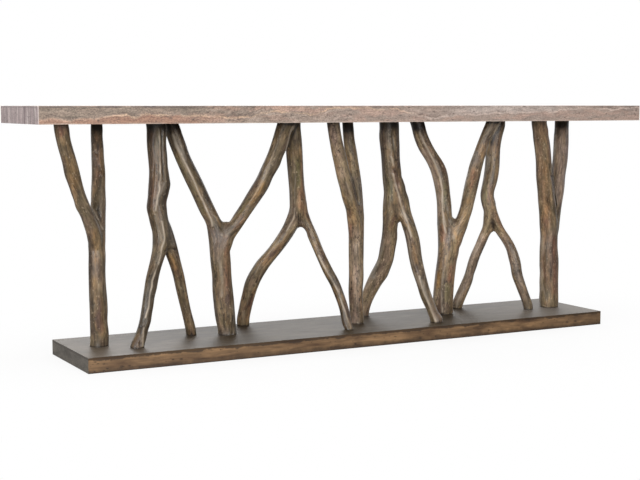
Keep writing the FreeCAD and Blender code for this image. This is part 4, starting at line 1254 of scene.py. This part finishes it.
def marked(number, points, normals, grain):
    """The leg's marks as a height, a share of the pale colour (wear and painted highlight), a share of the
    dark colour (painted shade) and a share of each tint per point.
    """
    facing = facing_camera(points, normals)
    offset = MARK_OFFSET * number
    fade = np.clip(FADE_MIDDLE + FADE_SWING * noise_at(grain, FADE, offset), *FADE_LIMITS)
    places = seen_in_photo(points)[0] + WAVER_PIXELS * noise_at(grain, WAVER, offset)[:, None]
    height, wear_and_highlight, stain_and_shade = np.zeros((3, len(points)))
    tints = {name: np.zeros(len(points)) for name in TINTS}
    for kind, width, strength, *line in (*MARKS[number], *chatter_rows(number)):
        away = distance_to_line(places, curved(line)) / width
        core = strength * facing * fade * bell(away)
        if kind == "ridge":
            shoulder = strength * facing * fade * bell(away, SHOULDER)
            height += RIDGE_HEIGHT * (core + shoulder) / 2
            # A ridge takes the pale colour, partly as wear and partly as painted highlight.
            wear_and_highlight = np.maximum(wear_and_highlight, RIDGE_WEAR_AND_HIGHLIGHT * core + SHOULDER_WEAR_AND_HIGHLIGHT * shoulder)
        # Pale marks: painted highlight along rims and ridges, and pale chips of wear.
        elif kind == "pale":
            rim = strength * np.clip(RIM_FACING * facing, 0, 1) * fade * bell(away)
            wear_and_highlight = np.maximum(wear_and_highlight, PALE_HIGHLIGHT_AND_WEAR * rim)
        elif kind in TINTS:
            tints[kind] = np.maximum(tints[kind], core)
        else:
            # Grooves and deep marks: the dark colour as painted shade.
            stain_and_shade = np.maximum(stain_and_shade, core)
            if kind == "groove":
                height -= GROOVE_DEPTH * core
    return height, wear_and_highlight, stain_and_shade, tints


def bare_wood(name, number):
    """The leg's solid as an even skin with filled crotches, its lowest and highest level, and its tracks."""
    bm, low, high = solid_copy(nodes[name])
    tracks = limb_tracks(bm, low, high)
    draw_out_ends(bm, low, high)
    add_webs(bm, number, *tracks)
    piece = remeshed(bm, name + "_wood")
    skin = Skin(piece.data)
    skin.smooth(np.ones(skin.count), SKIN_ROUNDS)
    for _ in range(FILL_TURNS):
        skin.fill(FILL_ROUNDS)
    skin.smooth(bell(skin.points[:, 2] - tracks[2], CROTCH_REACH), CROTCH_ROUNDS)
    return piece, skin, low, high, tracks


def sculpt(name, number):
    """A leg's wood: the solid's form with swellings, facets, flutes, marks and softened crotches."""
    piece, skin, low, high, tracks = bare_wood(name, number)
    normals = skin.normals()
    hollow = skin.hollows(normals)
    grain = fit_to_limbs(skin.points, *tracks)
    offset = LEG_OFFSET * number
    swell, slope, flute = (noise_at(grain, wave, offset) for wave in (SWELL, FACET, FLUTE))
    facet = 1 - FACET_SLOPE * np.abs(slope)
    bend = sideways(number, skin.points)
    mark_height, mark_wear_and_highlight, mark_shade, tints = marked(number, skin.points + bend, normals, grain)
    height = SWELL_HEIGHT * swell + FACET_HEIGHT * (facet - FACET_MIDDLE) + FLUTE_HEIGHT * flute
    skin.points += normals * (height * (1 - CREASE_CALM * hollow) + mark_height)[:, None] + bend
    skin.store()
    # Painted shadow where the limbs meet the deck and the slab.
    above_foot, below_top = skin.points[:, 2] - low, skin.points[:, 2] - high
    foot_shadow, top_shadow = FOOT_SHADOW * bell(above_foot, END_LINE), TOP_SHADOW * bell(below_top, END_LINE)
    # The pale share: wear on the facets, and the marks' painted highlights.
    skin.keep("wear_and_highlight", np.maximum(FACET_WORN * np.clip(facet, 0, 1) ** FACET_WORN_POWER, mark_wear_and_highlight))
    # The dark share: painted shade in hollows, where stain also gathers, in the marks, and the painted shadow
    # at both ends.
    skin.keep("stain_and_shade", np.max([HOLLOW_STAIN_AND_SHADE * hollow, mark_shade, foot_shadow, top_shadow], axis=0))
    # Lightness: the leg's own, with its spots of painted light and shade, and painted shadow over the foot.
    skin.keep("tone_and_shade", toned_and_shaded(number, skin.points) * (1 - FOOT_SHADE * bell(above_foot, FOOT_REACH)))
    skin.keep("fleck", np.full(skin.count, LEG_FLECKS.get(number, 1.0)))
    skin.keep("grain", grain + offset)
    for tint, values in tints.items():
        skin.keep(tint, values)
    trim_ends(piece.data, low, high)
    return piece


def trim_ends(mesh, low, high):
    """Cuts the limbs off level with the deck and the slab and closes the cuts."""
    bm = bmesh.new()
    bm.from_mesh(mesh)
    for level, way in ((low, -1), (high, 1)):
        geometry = bm.verts[:] + bm.edges[:] + bm.faces[:]
        plane = {"plane_co": (0, 0, level), "plane_no": (0, 0, way)}
        cut = bmesh.ops.bisect_plane(bm, geom=geometry, clear_outer=True, **plane)["geom_cut"]
        bmesh.ops.holes_fill(bm, edges=[e for e in cut if isinstance(e, bmesh.types.BMEdge)], sides=0)
    for face in bm.faces:
        face.smooth = True
    bm.to_mesh(mesh)
    bm.free()
    mesh.set_sharp_from_angle(angle=math.radians(SHARP_ANGLE))


def make_legs(material):
    """The nine legs' wood, each in place of its CAD node."""
    for number in LEG_TONES:
        name = "leg_%d" % number
        piece = sculpt(name, number)
        piece.data.materials.clear()
        piece.data.materials.append(material)
        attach(piece, "root")
        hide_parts(name)


def pale_floor():
    """A pale floor that takes the shadow near the table, and is white to the camera further off."""
    g = Graph("pale_floor")
    rays = g.add("ShaderNodeLightPath").outputs
    camera, glossy, clear = (rays["Is %s Ray" % kind] for kind in ("Camera", "Glossy", "Transmission"))
    seen = g.math("MAXIMUM", g.math("MAXIMUM", camera, glossy), clear)
    away = g.within(g.vector("LENGTH", g.scaled(g.place(), FLOOR_SQUEEZE)), *FLOOR_FADE)
    near, far = FLOOR_WHITE
    share = g.mix(glossy, g.ramp(away, (0.0, near), (1.0, far)), grey(FLOOR_MIRRORED))
    g.put(g.shader.inputs["Base Color"], g.mix(camera, grey(FLOOR_LIT), grey(FLOOR_SEEN)))
    g.put(g.shader.inputs["Roughness"], FLOOR_ROUGHNESS)
    white = g.add("ShaderNodeEmission", {"Color": grey(1), "Strength": 1.0}).outputs[0]
    mixed = g.add("ShaderNodeMixShader", {0: g.times(seen, share), 1: g.shader.outputs[0], 2: white})
    g.put(g.tree.nodes["Material Output"].inputs[0], mixed.outputs[0])
    return g.material


def make_floor():
    """The floor just below the plinth, as part of the stage."""
    bm = bmesh.new()
    bmesh.ops.create_grid(bm, x_segments=2, y_segments=2, size=FLOOR_SIZE)
    floor = place_in_scene("floor", mesh_from(bm, "floor"))
    floor.location.z = -FLOOR_DROP
    floor.data.materials.append(pale_floor())


def make_world():
    """White to the camera, softer for diffuse light, and in reflections white behind and dim in front."""
    world = bpy.data.worlds.new("studio")
    bpy.context.scene.world = world
    world.use_nodes = True
    g = Nodes(world.node_tree)

    def ranged(value, limits):
        names = ("From Min", "From Max", "To Min", "To Max")
        return g.add("ShaderNodeMapRange", {"Value": value, **dict(zip(names, limits))}).outputs[0]

    def chosen(share, first, second):
        return g.add("ShaderNodeMix", {0: share, 2: first, 3: second}, data_type="FLOAT").outputs[0]

    rays = g.add("ShaderNodeLightPath").outputs
    way = g.add("ShaderNodeTexCoord").outputs["Generated"]
    mirror = ranged(g.vector("DOT_PRODUCT", way, WORLD_BACK), MIRROR_RANGE)
    sky = ranged(g.parts(way)[2], SKY_RANGE)
    seen = g.math("MAXIMUM", rays["Is Camera Ray"], rays["Is Transmission Ray"])
    level = chosen(seen, chosen(rays["Is Glossy Ray"], sky, mirror), 1.0)
    background = world.node_tree.nodes["Background"]
    g.put(background.inputs["Color"], (1, 1, 1, 1))
    g.put(background.inputs["Strength"], level)


def make_lights():
    """The four area lamps."""
    for name, (place, target, (width, height), power) in LIGHTS.items():
        light = bpy.data.lights.new(name, "AREA")
        light.shape = "RECTANGLE"
        light.size, light.size_y = width, height
        light.energy = power
        lamp = place_in_scene(name, light)
        lamp.location = place
        lamp.rotation_euler = (Vector(target) - Vector(place)).to_track_quat("-Z", "Y").to_euler()


def make_camera():
    """The camera of the photograph."""
    camera = bpy.data.cameras.new("camera")
    camera.lens = CAMERA_LENS
    camera.sensor_width = SENSOR_WIDTH
    seat = place_in_scene("camera", camera)
    seat.location = CAMERA_PLACE
    seat.rotation_euler = (math.radians(90 + CAMERA_PITCH), 0, math.radians(CAMERA_YAW))
    bpy.context.scene.camera = seat


make_legs(limb_wood())
paint(slab_stone_long(), "top_front_edge", "top_back_edge")
paint(slab_stone_top(), "top_panel")
paint(slab_stone_end(), "top_left_edge", "top_right_edge")
paint(deck_veneer(), "base_deck")
paint(board_veneer(), "base_front_board", "base_back_board")
paint(end_veneer(), "base_left_board", "base_right_board")
paint(
    inner_wood(), "top_front_rail", "top_back_rail", "top_end_rails", "top_ribs", "top_carrier", "base_ribs",
    "base_bottom_panel",
)
paint(zinc_steel(), "top_screws", "base_screws", "foot_studs", "top_studs", "leg_washers", "leg_nuts")

make_floor()
make_world()
make_lights()
make_camera()
bpy.context.scene.view_settings.view_transform = "Standard"
